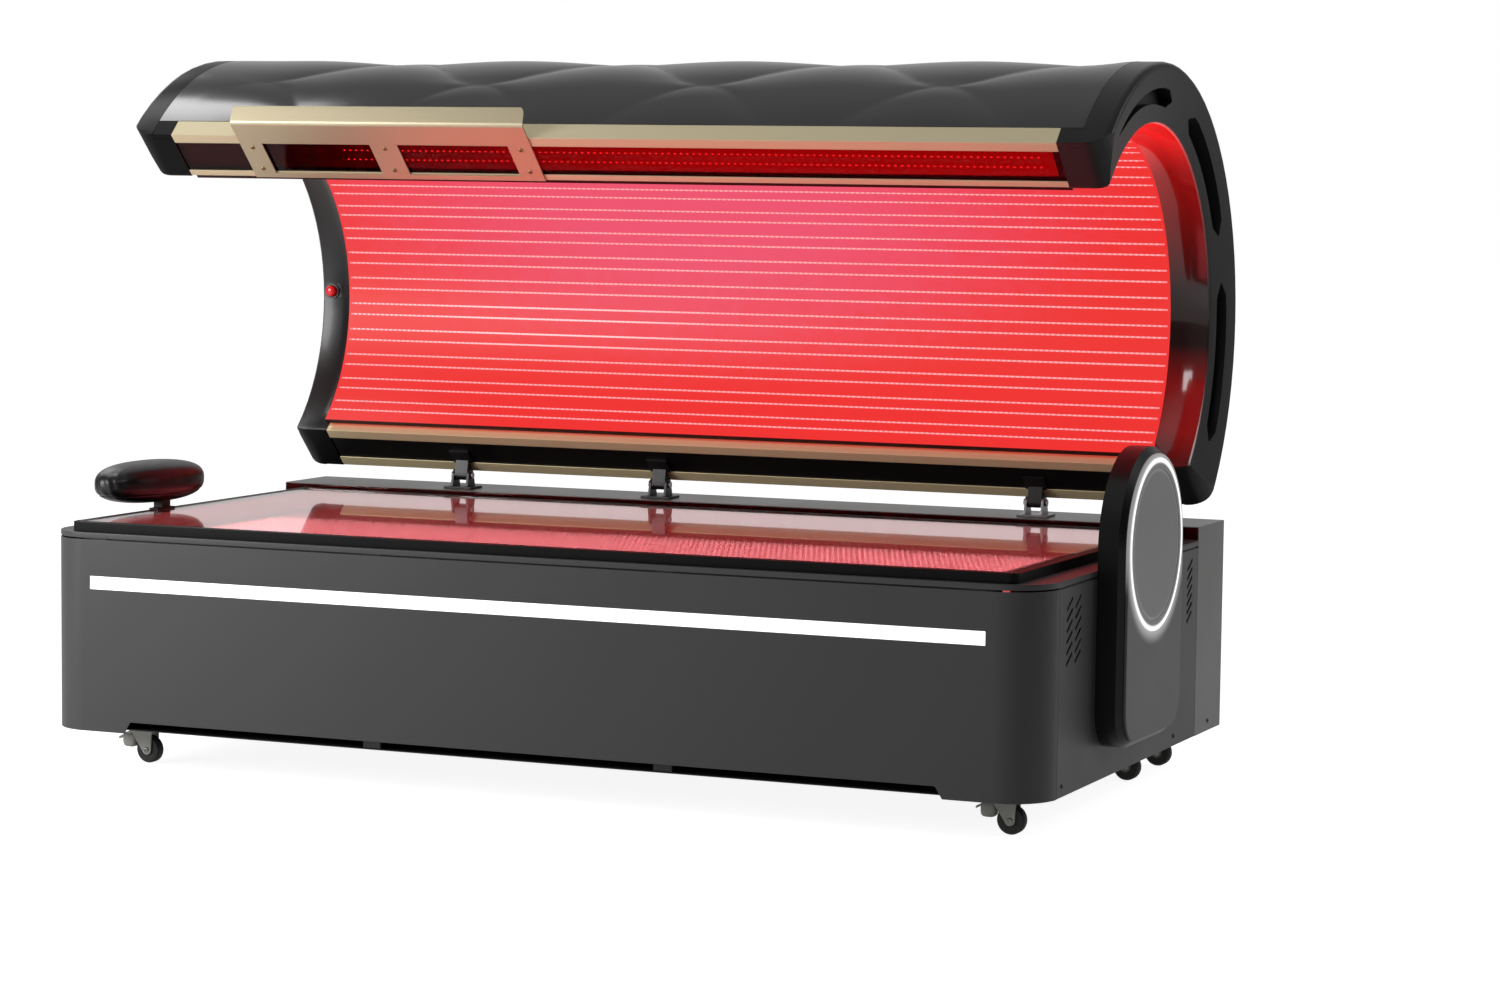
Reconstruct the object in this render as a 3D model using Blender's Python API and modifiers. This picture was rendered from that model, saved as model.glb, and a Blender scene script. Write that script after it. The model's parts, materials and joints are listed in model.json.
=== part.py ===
"""Light therapy bed: a base on casters with a lit bed panel, and a hinged canopy with a curved light panel.

Metres, +Z up. The front faces -Y, the head end with the headrest is at -X, and the pod is on the +X end.
The canopy rests open. Its pieces are drawn closed, about the hinge line, and turned by CANOPY_OPEN.
"""

import math

import bmesh
import bpy
from mathutils import Matrix

# Clearances: GAP between touching pieces, RUN round a turning shaft, SLACK where pieces pass each other
GAP = 0.0003
RUN = 0.00008
SLACK = 0.004

# Base
LENGTH = 2.300
DEPTH = 1.260
HALF_L = LENGTH / 2
FRONT = -DEPTH / 2
REAR = DEPTH / 2
CORNER_R = 0.100
CORNER_X = HALF_L - CORNER_R
CORNER_Y = FRONT + CORNER_R
SHEET = 0.003
INSIDE = SHEET + GAP
PANEL_BOTTOM = 0.090
DECK_TOP = 0.524
DECK_THICK = 0.012
DECK_UNDER = DECK_TOP - DECK_THICK - GAP
SHADOW_GAP = 0.003
PANEL_TOP = DECK_TOP - DECK_THICK - SHADOW_GAP
HOUSING_DEEP = 0.210
REAR_Y = REAR - HOUSING_DEEP
LEDGE_STEP = 0.0296
LEDGE_TOP = DECK_TOP + LEDGE_STEP
BACK_ROUND = 0.012
NOTCH_IN = 0.205
NOTCH_HALF = HALF_L - NOTCH_IN
NOTCH_SLANT = 0.015
NOTCH_HIGH = 0.025
STRIP_IN = 0.120
STRIP_HALF = HALF_L - STRIP_IN
STRIP_TALL = 0.028
STRIP_DROP = 0.0945
STRIP_HIGH = DECK_TOP - STRIP_DROP
STRIP_LOW = STRIP_HIGH - STRIP_TALL
STRIP_DEEP = 0.008
VENT_TALL = 0.133
VENT_DROP = 0.039
VENT_LOW = DECK_TOP - VENT_DROP - VENT_TALL
VENT_LONG = 0.042
VENT_SLOT = 0.007
VENT_SLANT = math.radians(32)
VENT_STEP = 0.054
VENT_FRONT = CORNER_Y + 0.064
VENT_REAR = REAR_Y - 0.060

# Bed panel and its frame
BED_IN = 0.060
BED_X = HALF_L - BED_IN
BED_EDGE = 0.015
BED_FRONT = FRONT + BED_EDGE
BED_REAR = REAR_Y - 0.020
BED_THICK = 0.021
BED_TOP = DECK_TOP + BED_THICK
BED_BORDER = 0.025
BED_RAIL = 0.040
BED_SHEET = 0.010
BED_CORNER = 0.020

# Frame bars
BAR = 0.040
BAR_STEP = 0.001
FOOT_BAR = 0.060
FRAME_LOW = PANEL_BOTTOM + 0.010
PAN_SHEET = 0.002
FRONT_POST = FRONT + INSIDE
MID_POST = REAR_Y - GAP - BAR
BACK_POST = REAR - INSIDE - BAR
LIGHT_THICK = 0.010
LIGHT_DROP = 0.0273
LIGHT_BASE = DECK_UNDER - LIGHT_DROP

# Casters
CASTER_IN = 0.140
CASTER_X = HALF_L - CASTER_IN
CASTER_YS = (CORNER_Y + 0.075, REAR_Y - 0.110, REAR - 0.090)
WHEEL_R = 0.030
WHEEL_WIDE = 0.024
WHEEL_SIDE = 0.0012
TRAIL = 0.022
AXLE_R = 0.005
STUD_R = 0.006
STUD_LONG = 0.020
HEAD_R = 0.026
HEAD_TALL = 0.022
HEAD_TOP = FRAME_LOW - 0.0006
FORK_SHEET = 0.0035
PEDAL_LONG = 0.026

# Electrics on the pan
SUPPLY = (0.460, 0.280, 0.115)
CONTROL = (0.360, 0.250, 0.095)
FAN_HALF = 0.060
FAN_THICK = 0.025
FAN_BORE = 0.056
FAN_HUB = 0.0185
FAN_SHAFT = 0.003
FAN_Y = VENT_FRONT + VENT_STEP / 2
FAN_Z = VENT_LOW + 0.050
INLET_X = CASTER_X - 0.130
INLET_Z = FRAME_LOW + 0.100
INLET = (0.050, 0.030, 0.028)
INLET_FLANGE = 0.006

# Pod on the right end
POD_Y = (FRONT + REAR_Y) / 2 + 0.011
POD_RISE = 0.040
POD_Z = DECK_TOP + POD_RISE
POD_R = 0.2025
POD_LOW = PANEL_BOTTOM + 0.065
POD_FOOT_R = 0.080
POD_THICK = 0.055
POD_BEVEL = 0.012
FACE_INSET = 0.014
FACE_THICK = 0.006
RING_OUT = POD_R - 0.0225
RING_IN = RING_OUT - 0.023
RING_GROOVE = 0.004
RING_PROUD = 0.001

# Canopy, drawn closed about the hinge line
CANOPY_OPEN = math.radians(45)
HINGE_BACK = 0.065
HINGE_Y = REAR_Y + HINGE_BACK
HINGE_RISE = 0.0314
HINGE_Z = LEDGE_TOP + HINGE_RISE
SHELL_R = 0.562
SHELL_THICK = 0.016
SHELL_IN = SHELL_R - SHELL_THICK
AXIS_Y = 0.014 - SHELL_R
LIP_RISE = 0.025
LIP = 0.014
AXIS_Z = LIP_RISE + LIP
RELIEF = 0.011
WAVE_LONG = 0.545
WAVE_AT = -0.360
WAVE_ROW = 22.0
WAVE_TURN = 148.5
CAP_END = HALF_L
CAP_SKIRT = 0.062
SHELL_HALF = CAP_END - CAP_SKIRT
CAP_BAND = 0.110
BAND_HALF = CAP_END - CAP_BAND
CAP_ROUND = 0.014
CAP_BEVEL = 0.005
CAP_DISH = 0.025
CAP_SLOPE = 0.030
LIP_ROUND = 0.055
LIP_WIDE = 0.130
CAP_R = SHELL_R - LIP_WIDE
LIGHT_R = CAP_R - 0.020
LIGHT_OUT = LIGHT_R + LIGHT_THICK
SLOT_R = (SHELL_R + CAP_R) / 2 - 0.012
SLOT_HALF = 0.022
SLOT_DEEP = 0.040
LIP_SHEET = 0.0025
TRIM_Y = SHELL_R - 0.0015
INNER_Y = CAP_R + 0.002
REAR_EDGE = SHELL_R - 0.002
TRIM_TALL = 0.030
TRIM_WIDE = 0.025
STRIP_WIDE = 0.016
REAR_STRIP = 0.028
REAR_TALL = 0.032
WINDOW_THICK = 0.005
CHANNEL_THICK = 0.006
RAIL_TALL = 0.012
RIB_THICK = 0.008
RIB_IN = 0.040
ARCH_TURNS = [180 - 5 * i for i in range(37)]
HANDLE_X0 = -BAND_HALF + 0.170
HANDLE_LONG = 0.720
HANDLE_X1 = HANDLE_X0 + HANDLE_LONG
HANDLE_OUT = 0.045
HANDLE_FLANGE = 0.034
HANDLE_LEAN = math.radians(30)
HANDLE_BEND = 0.012
HANDLE_LEG = 0.056
HANDLE_MID = 0.068
HANDLE_SHEET = 0.003
HANDLE_CORNER = 0.014
BUTTON_ANGLE = math.radians(47)
BUTTON_X = -CAP_END + 0.052
BUTTON_R = 0.0138
BUTTON_SLACK = 0.0005

# Hinges
HINGE_XS = {"left": -0.673 * BAND_HALF, "centre": -0.173 * BAND_HALF, "right": 0.721 * BAND_HALF}
LUG_WIDE = 0.033
LUG_R = 0.012
LUG_SIDE = 0.0005
CHEEK = 0.006
PIN_R = 0.005
PIN_HEAD = 0.003
FOOT_LONG = 0.072
FOOT_WIDE = 0.062
FOOT_THICK = 0.005
LEAF_LONG = 0.050
LEAF_WIDE = 0.038
LEAF_THICK = 0.006

# Headrest
REST_HALF = (0.086, 0.188, 0.042)
REST_AT = (-HALF_L + 0.041, CORNER_Y + 0.270, BED_TOP + 0.062)
POST_WIDE = 0.036


def wipe():
    for obj in list(bpy.data.objects):
        bpy.data.objects.remove(obj, do_unlink=True)


wipe()
PARTS = bpy.data.collections.new("light_therapy_bed")
bpy.context.scene.collection.children.link(PARTS)


def paint(name, colour, rough, metal=0.0):
    mat = bpy.data.materials.new(name)
    mat.use_nodes = True
    shader = mat.node_tree.nodes["Principled BSDF"]
    shader.inputs["Base Color"].default_value = (*colour, 1.0)
    shader.inputs["Roughness"].default_value = rough
    shader.inputs["Metallic"].default_value = metal
    return mat


GREY = paint("grey_paint", (0.075, 0.073, 0.074), 0.38)
BLACK = paint("black_plastic", (0.012, 0.012, 0.013), 0.30)
SHELL = paint("shell_lacquer", (0.030, 0.030, 0.032), 0.22)
GOLD = paint("champagne", (0.58, 0.48, 0.30), 0.28, 1.0)
STEEL = paint("steel", (0.55, 0.55, 0.56), 0.30, 1.0)
FRAME = paint("frame_paint", (0.03, 0.03, 0.03), 0.55)
LEATHER = paint("black_leather", (0.010, 0.010, 0.010), 0.35)
LIGHT = paint("white_light", (0.95, 0.95, 0.95), 0.40)
RED = paint("red_light", (0.90, 0.03, 0.04), 0.35)
ACRYLIC = paint("clear_acrylic", (0.80, 0.72, 0.72), 0.05)
SMOKE = paint("smoked_acrylic", (0.06, 0.005, 0.006), 0.06)
RUBBER = paint("caster_tyre", (0.012, 0.012, 0.012), 0.60)
FORK = paint("caster_grey", (0.42, 0.42, 0.42), 0.45)
KNOB = paint("red_button", (0.70, 0.02, 0.02), 0.25)


def tidy(mesh):
    bm = bmesh.new()
    bm.from_mesh(mesh)
    bmesh.ops.remove_doubles(bm, verts=bm.verts, dist=1e-6)
    bmesh.ops.recalc_face_normals(bm, faces=bm.faces)
    bm.to_mesh(mesh)
    bm.free()
    return mesh


def evaluated(obj):
    bpy.context.view_layer.update()
    graph = bpy.context.evaluated_depsgraph_get()
    return bpy.data.meshes.new_from_object(obj.evaluated_get(graph))


def place(name, mesh, mat, parent=None):
    obj = bpy.data.objects.new(name, mesh)
    mesh.name = name
    mesh.materials.clear()
    mesh.materials.append(mat)
    PARTS.objects.link(obj)
    obj.parent = parent
    return obj


def loose(mesh):
    obj = bpy.data.objects.new("helper", mesh)
    bpy.context.scene.collection.objects.link(obj)
    return obj


def box(lo, hi):
    """A box mesh between two corners."""
    bm = bmesh.new()
    bmesh.ops.create_cube(bm, size=1.0)
    size = [h - l for l, h in zip(lo, hi)]
    mid = [(h + l) / 2 for l, h in zip(lo, hi)]
    bmesh.ops.scale(bm, vec=size, verts=bm.verts)
    bmesh.ops.translate(bm, vec=mid, verts=bm.verts)
    mesh = bpy.data.meshes.new("box")
    bm.to_mesh(mesh)
    bm.free()
    return mesh


def rod(radius, low, high, at=(0.0, 0.0, 0.0), axis="Z", steps=20):
    """A cylinder mesh along an axis, from low to high."""
    bm = bmesh.new()
    bmesh.ops.create_cone(
        bm, cap_ends=True, segments=steps, radius1=radius, radius2=radius, depth=high - low
    )
    bmesh.ops.translate(bm, vec=(0, 0, (high + low) / 2), verts=bm.verts)
    if axis == "X":
        bmesh.ops.rotate(bm, matrix=Matrix.Rotation(math.pi / 2, 3, "Y"), verts=bm.verts)
    bmesh.ops.translate(bm, vec=at, verts=bm.verts)
    mesh = bpy.data.meshes.new("rod")
    bm.to_mesh(mesh)
    bm.free()
    return mesh


def slab(outlines, low, high, axis="Z"):
    """Flat outlines, the later ones holes in the first, given thickness along Z or X."""
    curve = bpy.data.curves.new("outline", "CURVE")
    curve.dimensions = "2D"
    curve.fill_mode = "BOTH"
    curve.extrude = (high - low) / 2
    for outline in outlines:
        spline = curve.splines.new("POLY")
        spline.points.add(len(outline) - 1)
        for point, (a, b) in zip(spline.points, outline):
            point.co = (a, b, 0.0, 1.0)
        spline.use_cyclic_u = True
    obj = loose(curve)
    mesh = evaluated(obj)
    bpy.data.objects.remove(obj, do_unlink=True)
    mesh.transform(Matrix.Translation((0, 0, (high + low) / 2)))
    if axis == "X":
        mesh.transform(Matrix(((0, 0, 1, 0), (1, 0, 0, 0), (0, 1, 0, 0), (0, 0, 0, 1))))
    return tidy(mesh)


def joined(meshes, operation="UNION"):
    """The first mesh with the others added to it, or taken from it."""
    objs = [loose(mesh) for mesh in meshes]
    for other in objs[1:]:
        mod = objs[0].modifiers.new("join", "BOOLEAN")
        mod.operation = operation
        mod.solver = "EXACT"
        mod.object = other
    mesh = evaluated(objs[0])
    for obj in objs:
        bpy.data.objects.remove(obj, do_unlink=True)
    return mesh


def cut(mesh, *cutters):
    return joined([mesh, *cutters], "DIFFERENCE")


def turned(profile, steps=24):
    """A profile of (radius, height) points, outer side from top to bottom, turned about Z with Screw."""
    mesh = bpy.data.meshes.new("profile")
    points = [(r, 0.0, z) for r, z in profile]
    ends_on_axis = profile[0][0] < 1e-9 and profile[-1][0] < 1e-9
    edges = [(i, i + 1) for i in range(len(points) - 1)]
    if not ends_on_axis:
        edges.append((len(points) - 1, 0))
    mesh.from_pydata(points, edges, [])
    obj = loose(mesh)
    mod = obj.modifiers.new("turn", "SCREW")
    mod.steps = steps
    mod.render_steps = steps
    mod.use_merge_vertices = True
    mod.merge_threshold = 0.00005
    made = evaluated(obj)
    bpy.data.objects.remove(obj, do_unlink=True)
    return tidy(made)


def arc(cy, cz, radius, start, end, steps):
    """Points on an arc, with angles in degrees from the first axis."""
    span = [math.radians(start + (end - start) * i / steps) for i in range(steps + 1)]
    return [(cy + radius * math.cos(a), cz + radius * math.sin(a)) for a in span]


def loft(rings):
    """Rings of equal length joined by quads, with the first and last ring filled."""
    mesh = bpy.data.meshes.new("loft")
    count = len(rings[0])
    verts = [p for ring in rings for p in ring]
    faces = []
    for k in range(len(rings) - 1):
        for i in range(count):
            j = (i + 1) % count
            faces.append((k * count + i, k * count + j, (k + 1) * count + j, (k + 1) * count + i))
    faces.append(tuple(range(count))[::-1])
    faces.append(tuple((len(rings) - 1) * count + i for i in range(count)))
    mesh.from_pydata(verts, [], faces)
    return tidy(mesh)


def moved(mesh, vec):
    mesh.transform(Matrix.Translation(vec))
    return mesh


# Base shell


def front_line(inset):
    """The plan line of the wrapped front, from the right seam round to the left one."""
    radius = CORNER_R - inset
    right = arc(CORNER_X, CORNER_Y, radius, 0, -90, 8)
    left = arc(-CORNER_X, CORNER_Y, radius, -90, -180, 8)
    return right + left


def along_y(outline, low, high):
    """An outline of (x, z) points given thickness along Y."""
    mesh = slab([outline], -high, -low)
    mesh.transform(Matrix.Rotation(math.pi / 2, 4, "X"))
    return mesh


front_plan = front_line(0.0) + front_line(SHEET)[::-1]
front_panel = slab([front_plan], PANEL_BOTTOM, PANEL_TOP)
notch = [
    (-NOTCH_HALF - NOTCH_SLANT, PANEL_BOTTOM - NOTCH_HIGH),
    (NOTCH_HALF + NOTCH_SLANT, PANEL_BOTTOM - NOTCH_HIGH),
    (NOTCH_HALF - NOTCH_SLANT, PANEL_BOTTOM + NOTCH_HIGH),
    (-NOTCH_HALF + NOTCH_SLANT, PANEL_BOTTOM + NOTCH_HIGH),
]
notch_cutter = along_y(notch, FRONT - SLACK, FRONT + SHEET + SLACK)
strip_way = box(
    (-STRIP_HALF - GAP, FRONT - SLACK, STRIP_LOW - GAP),
    (STRIP_HALF + GAP, FRONT + STRIP_DEEP + GAP, STRIP_HIGH + GAP),
)
place("front_panel", cut(front_panel, notch_cutter, strip_way), GREY)
place(
    "front_light",
    box((-STRIP_HALF, FRONT + GAP, STRIP_LOW), (STRIP_HALF, FRONT + STRIP_DEEP, STRIP_HIGH)),
    LIGHT,
)


def vent_cutters(side):
    """Slanted slots through a side panel: two columns near the front, one near the rear."""
    made = []
    columns = ((VENT_FRONT, 6), (VENT_FRONT + VENT_STEP, 6), (VENT_REAR, 7))
    for y, rows in columns:
        for row in range(rows):
            z = VENT_LOW + VENT_TALL * (row + 0.5) / rows
            slot = box((-SLACK, -VENT_LONG / 2, -VENT_SLOT / 2), (SLACK, VENT_LONG / 2, VENT_SLOT / 2))
            slot.transform(Matrix.Rotation(VENT_SLANT, 4, "X"))
            made.append(moved(slot, (side * (HALF_L - SHEET / 2), y, z)))
    return made


def span(side, near, far):
    """The low and high X of a piece between two distances from the middle, on one side."""
    return sorted((side * near, side * far))


for side, name in ((-1, "left"), (1, "right")):
    low, high = span(side, HALF_L - SHEET, HALF_L)
    sheet = box((low, CORNER_Y + GAP, PANEL_BOTTOM), (high, REAR_Y - GAP, PANEL_TOP))
    place("side_panel_" + name, cut(sheet, *vent_cutters(side)), GREY)

# Rear housing: back wall, ends, ledge and a short riser down to the deck


def back_rounded(lo, hi, offset):
    """A box with its upright and top back edges rounded."""
    mesh = box(lo, hi)
    bm = bmesh.new()
    bm.from_mesh(mesh)
    edges = [
        e
        for e in bm.edges
        if all(v.co.y > hi[1] - GAP for v in e.verts) and any(v.co.z > hi[2] - GAP for v in e.verts)
    ]
    bmesh.ops.bevel(bm, geom=edges, offset=offset, segments=3, profile=0.5, affect="EDGES")
    bm.to_mesh(mesh)
    bm.free()
    return mesh


outer = back_rounded((-HALF_L, REAR_Y, PANEL_BOTTOM), (HALF_L, REAR, LEDGE_TOP), BACK_ROUND)
hollow = back_rounded(
    (-HALF_L + SHEET, REAR_Y + SHEET, PANEL_BOTTOM - SLACK),
    (HALF_L - SHEET, REAR - SHEET, LEDGE_TOP - SHEET),
    BACK_ROUND - SHEET,
)
MOUTH_X = HALF_L - SHEET - BAR_STEP
mouth = box(
    (-MOUTH_X, REAR_Y - SLACK, PANEL_BOTTOM - 2 * SLACK),
    (MOUTH_X, REAR_Y + SHEET + SLACK, DECK_TOP - DECK_THICK),
)


def inlet_box(grow, low, high):
    """A box round the mains inlet's middle, grown on its four sides, between two depths in Y."""
    half_x = INLET[0] / 2 + grow
    half_z = INLET[2] / 2 + grow
    return box((INLET_X - half_x, low, INLET_Z - half_z), (INLET_X + half_x, high, INLET_Z + half_z))


inlet_hole = inlet_box(GAP, REAR - SHEET - SLACK, REAR + SLACK)
place("rear_housing", cut(outer, hollow, mouth, inlet_hole), GREY)
inlet = joined(
    [
        inlet_box(0.0, REAR - INLET[1], REAR - GAP),
        inlet_box(INLET_FLANGE, REAR - INSIDE - SLACK, REAR - INSIDE),
    ]
)
socket = inlet_box(-0.005, REAR - 0.6 * INLET[1], REAR + SLACK)
place("mains_inlet", cut(inlet, socket), BLACK)

# Deck, bed frame and bed panel
deck_plan = [(HALF_L, REAR_Y - GAP), *front_line(0.0), (-HALF_L, REAR_Y - GAP)]
OPEN_X = BED_X - BED_RAIL
OPEN_FRONT = BED_FRONT + BED_RAIL
OPEN_REAR = BED_REAR - BED_RAIL
opening = [(-OPEN_X, OPEN_FRONT), (OPEN_X, OPEN_FRONT), (OPEN_X, OPEN_REAR), (-OPEN_X, OPEN_REAR)]
place("deck_plate", slab([deck_plan, opening], DECK_TOP - DECK_THICK, DECK_TOP), GREY)


def rounded(x0, x1, y0, y1, r, steps=4):
    """A rectangle with round corners."""
    return (
        arc(x1 - r, y1 - r, r, 0, 90, steps)
        + arc(x0 + r, y1 - r, r, 90, 180, steps)
        + arc(x0 + r, y0 + r, r, 180, 270, steps)
        + arc(x1 - r, y0 + r, r, 270, 360, steps)
    )


bed_line = rounded(-BED_X, BED_X, BED_FRONT, BED_REAR, BED_CORNER)
bed_ring = slab([bed_line, opening], DECK_TOP + GAP, BED_TOP)
PANEL_X = BED_X - BED_BORDER
PANEL_FRONT = BED_FRONT + BED_BORDER
PANEL_REAR = BED_REAR - BED_BORDER
rebate = box(
    (-PANEL_X - GAP, PANEL_FRONT - GAP, BED_TOP - BED_SHEET - GAP),
    (PANEL_X + GAP, PANEL_REAR + GAP, BED_TOP + SLACK),
)
place("bed_frame", cut(bed_ring, rebate), BLACK)
panel_low = (-PANEL_X, PANEL_FRONT, BED_TOP - BED_SHEET)
place("bed_panel", box(panel_low, (PANEL_X, PANEL_REAR, BED_TOP - GAP)), ACRYLIC)

# Welded frame inside the base. Crossing bars step by BAR_STEP, so that no two faces lie in one plane.
RAIL_Z = DECK_UNDER - BAR
SIDE_IN = HALF_L - INSIDE
S = BAR_STEP
bars = []
for y in CASTER_YS:
    foot = box(
        (-SIDE_IN + BAR, y - FOOT_BAR / 2, FRAME_LOW), (SIDE_IN - BAR, y + FOOT_BAR / 2, FRAME_LOW + BAR - 2 * S)
    )
    bars.append(foot)
half = BAR / 2
for x in (-CASTER_X, -CASTER_X / 3, CASTER_X / 3, CASTER_X):
    posts = (
        (half + S, FRONT_POST + S, BACK_POST + BAR - S, FRAME_LOW + S, FRAME_LOW + BAR - S),
        (half, FRONT_POST, FRONT_POST + BAR, FRAME_LOW + 3 * S, DECK_UNDER),
        (half - S, MID_POST, MID_POST + BAR, FRAME_LOW + 4 * S, DECK_UNDER),
        (half, BACK_POST, BACK_POST + BAR, FRAME_LOW + 3 * S, LEDGE_TOP - BACK_ROUND - SLACK),
        (half - 2 * S, MID_POST + 2 * S, BACK_POST + 2 * S, RAIL_Z - S, DECK_UNDER - 3 * S),
    )
    for wide, y0, y1, z0, z1 in posts:
        bars.append(box((x - wide, y0, z0), (x + wide, y1, z1)))
cross = (
    (CORNER_X - 2 * S, FRONT_POST + 2 * S, FRONT_POST + BAR - 2 * S, RAIL_Z + S, DECK_UNDER - S),
    (SIDE_IN, MID_POST + 3 * S, MID_POST + BAR - 2 * S, RAIL_Z, DECK_UNDER - S),
    (SIDE_IN - BAR, HINGE_Y - BAR, HINGE_Y + BAR, RAIL_Z + BAR / 2, LEDGE_TOP - INSIDE),
)
for reach, y0, y1, z0, z1 in cross:
    bars.append(box((-reach, y0, z0), (reach, y1, z1)))
for side in (-1, 1):
    ends = (
        (SIDE_IN - BAR + 2 * S, SIDE_IN, CORNER_Y, MID_POST + BAR - 3 * S, RAIL_Z + 2 * S, DECK_UNDER),
        (CASTER_X - half, SIDE_IN - 3 * S, CORNER_Y + S, CORNER_Y + BAR, RAIL_Z + 3 * S, DECK_UNDER - S),
        (
            CASTER_X - half + 2 * S,
            CASTER_X + half - 2 * S,
            FRONT_POST + 3 * S,
            CORNER_Y + BAR - S,
            RAIL_Z + 4 * S,
            DECK_UNDER - 2 * S,
        ),
    )
    for near, far, y0, y1, z0, z1 in ends:
        low, high = span(side, near, far)
        bars.append(box((low, y0, z0), (high, y1, z1)))
for x in (-0.69 * CASTER_X, 0.0, 0.69 * CASTER_X):
    shelf = box(
        (x - half + 5 * S, FRONT_POST + 5 * S, LIGHT_BASE - GAP - BAR + 10 * S),
        (x + half - 5 * S, MID_POST + half, LIGHT_BASE - GAP),
    )
    bars.append(shelf)
STUD_HOLE = STUD_LONG + 0.002
studs = [(side * CASTER_X, y, 0.0) for side in (-1, 1) for y in CASTER_YS]
sockets = [rod(STUD_R + RUN, FRAME_LOW - SLACK, FRAME_LOW + STUD_HOLE, at) for at in studs]
place("base_frame", cut(joined(bars), strip_way, *sockets), FRAME)

# The pan closes the base from below and carries the electrics
PAN_TOP = FRAME_LOW - GAP
pan_narrow = MOUTH_X - GAP
pan_rear = REAR - INSIDE
right_end = [
    (pan_narrow - BACK_ROUND, pan_rear),
    (pan_narrow, pan_rear - BACK_ROUND),
    (pan_narrow, REAR_Y - SLACK),
    (HALF_L - INSIDE, REAR_Y - SLACK),
]
pan_plan = right_end + front_line(INSIDE) + [(-x, y) for x, y in right_end[::-1]]
pan = slab([pan_plan], PAN_TOP - PAN_SHEET, PAN_TOP)
head_holes = [rod(HEAD_R + SLACK, FRAME_LOW - 2 * SLACK, FRAME_LOW + SLACK, at) for at in studs]
place("bottom_pan", cut(pan, *head_holes), FRAME)


def on_pan(name, size, mid_x, mat):
    """A box standing on the pan between the front and middle foot bars."""
    mid_y = (CASTER_YS[0] + CASTER_YS[1]) / 2
    low = (mid_x - size[0] / 2, mid_y - size[1] / 2, PAN_TOP + GAP)
    return place(name, box(low, (low[0] + size[0], low[1] + size[1], low[2] + size[2])), mat)


on_pan("power_supply", SUPPLY, 2 / 3 * CASTER_X, STEEL)
on_pan("control_box", CONTROL, -2 / 3 * CASTER_X, FRAME)
light_x = CASTER_X - half - SLACK
light_low = (-light_x, FRONT_POST + BAR + SLACK, LIGHT_BASE)
place("bed_light_panel", box(light_low, (light_x, MID_POST - SLACK, LIGHT_BASE + LIGHT_THICK)), RED)

# Fans behind the side vents
for side, name in ((-1, "left"), (1, "right")):
    face = HALF_L - INSIDE
    back = face - FAN_THICK
    case = box((back, -FAN_HALF, -FAN_HALF), (face, FAN_HALF, FAN_HALF))
    case = cut(case, rod(FAN_BORE, back - SLACK, face + SLACK, axis="X", steps=40))
    arm = (FAN_HALF + FAN_BORE) / 2
    spider = joined(
        [
            case,
            box((back + 0.5 * S, -arm, -3 * S), (back + 4 * S, arm, 3 * S)),
            box((back + S, -3.5 * S, -arm), (back + 4.5 * S, 3.5 * S, arm)),
            rod(FAN_HUB, back + 0.2 * S, back + 5.5 * S, axis="X"),
            rod(FAN_SHAFT, back + 3 * S, face - SLACK, axis="X"),
        ]
    )
    hub = rod(FAN_HUB, back + 6.5 * S, face - SLACK + 0.5 * S, axis="X")
    blades = []
    for k in range(5):
        blade = box((-7 * S, -0.7 * S, FAN_HUB - 3.5 * S), (7 * S, 0.7 * S, FAN_BORE - 3.5 * S))
        blade.transform(Matrix.Rotation(math.radians(48), 4, "Z"))
        blade.transform(Matrix.Rotation(2 * math.pi * k / 5, 4, "X"))
        blades.append(moved(blade, ((back + face) / 2 + 0.5 * S, 0, 0)))
    bore = rod(FAN_SHAFT + RUN, back - SLACK, face + SLACK, axis="X")
    rotor = cut(joined([hub, *blades]), bore)
    for part_name, mesh in (("fan_frame_", spider), ("fan_rotor_", rotor)):
        if side < 0:
            mesh.transform(Matrix.Rotation(math.pi, 4, "Z"))
        place(part_name + name, mesh, BLACK).location = (0, FAN_Y, FAN_Z)

# Pod: a bevelled housing, its face and the light ring set in a groove


def pod_line(inset, x):
    """The pod's outline at one inset: half round above, straight sides, round foot corners."""
    r = POD_R - inset
    low = POD_LOW + inset
    foot = POD_FOOT_R - inset
    top = arc(POD_Y, POD_Z, r, 0, 180, 28)
    left = arc(POD_Y - r + foot, low + foot, foot, 180, 270, 6)
    right = arc(POD_Y + r - foot, low + foot, foot, 270, 360, 6)
    return [(x, y, z) for y, z in top + left + right]


POD_IN = HALF_L + GAP
POD_OUT = POD_IN + POD_THICK
pod_rings = [pod_line(0.0, POD_IN), pod_line(0.0, POD_OUT - POD_BEVEL), pod_line(POD_BEVEL, POD_OUT)]
place("pod_body", loft(pod_rings), BLACK)
FACE_IN = POD_OUT + GAP
FACE_OUT = FACE_IN + FACE_THICK
face_mesh = slab([[(y, z) for _, y, z in pod_line(FACE_INSET, 0.0)]], FACE_IN, FACE_OUT, "X")


def annulus(inner, outer, low, high, steps=48):
    circles = [arc(POD_Y, POD_Z, r, 0, 360 * (steps - 1) / steps, steps - 1) for r in (outer, inner)]
    return slab(circles, low, high, "X")


groove = annulus(RING_IN - GAP, RING_OUT + GAP, FACE_OUT - RING_GROOVE, FACE_OUT + SLACK)
place("pod_face", cut(face_mesh, groove), GREY)
place("pod_ring", annulus(RING_IN, RING_OUT, FACE_OUT - RING_GROOVE + GAP, FACE_OUT + RING_PROUD), LIGHT)

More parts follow.
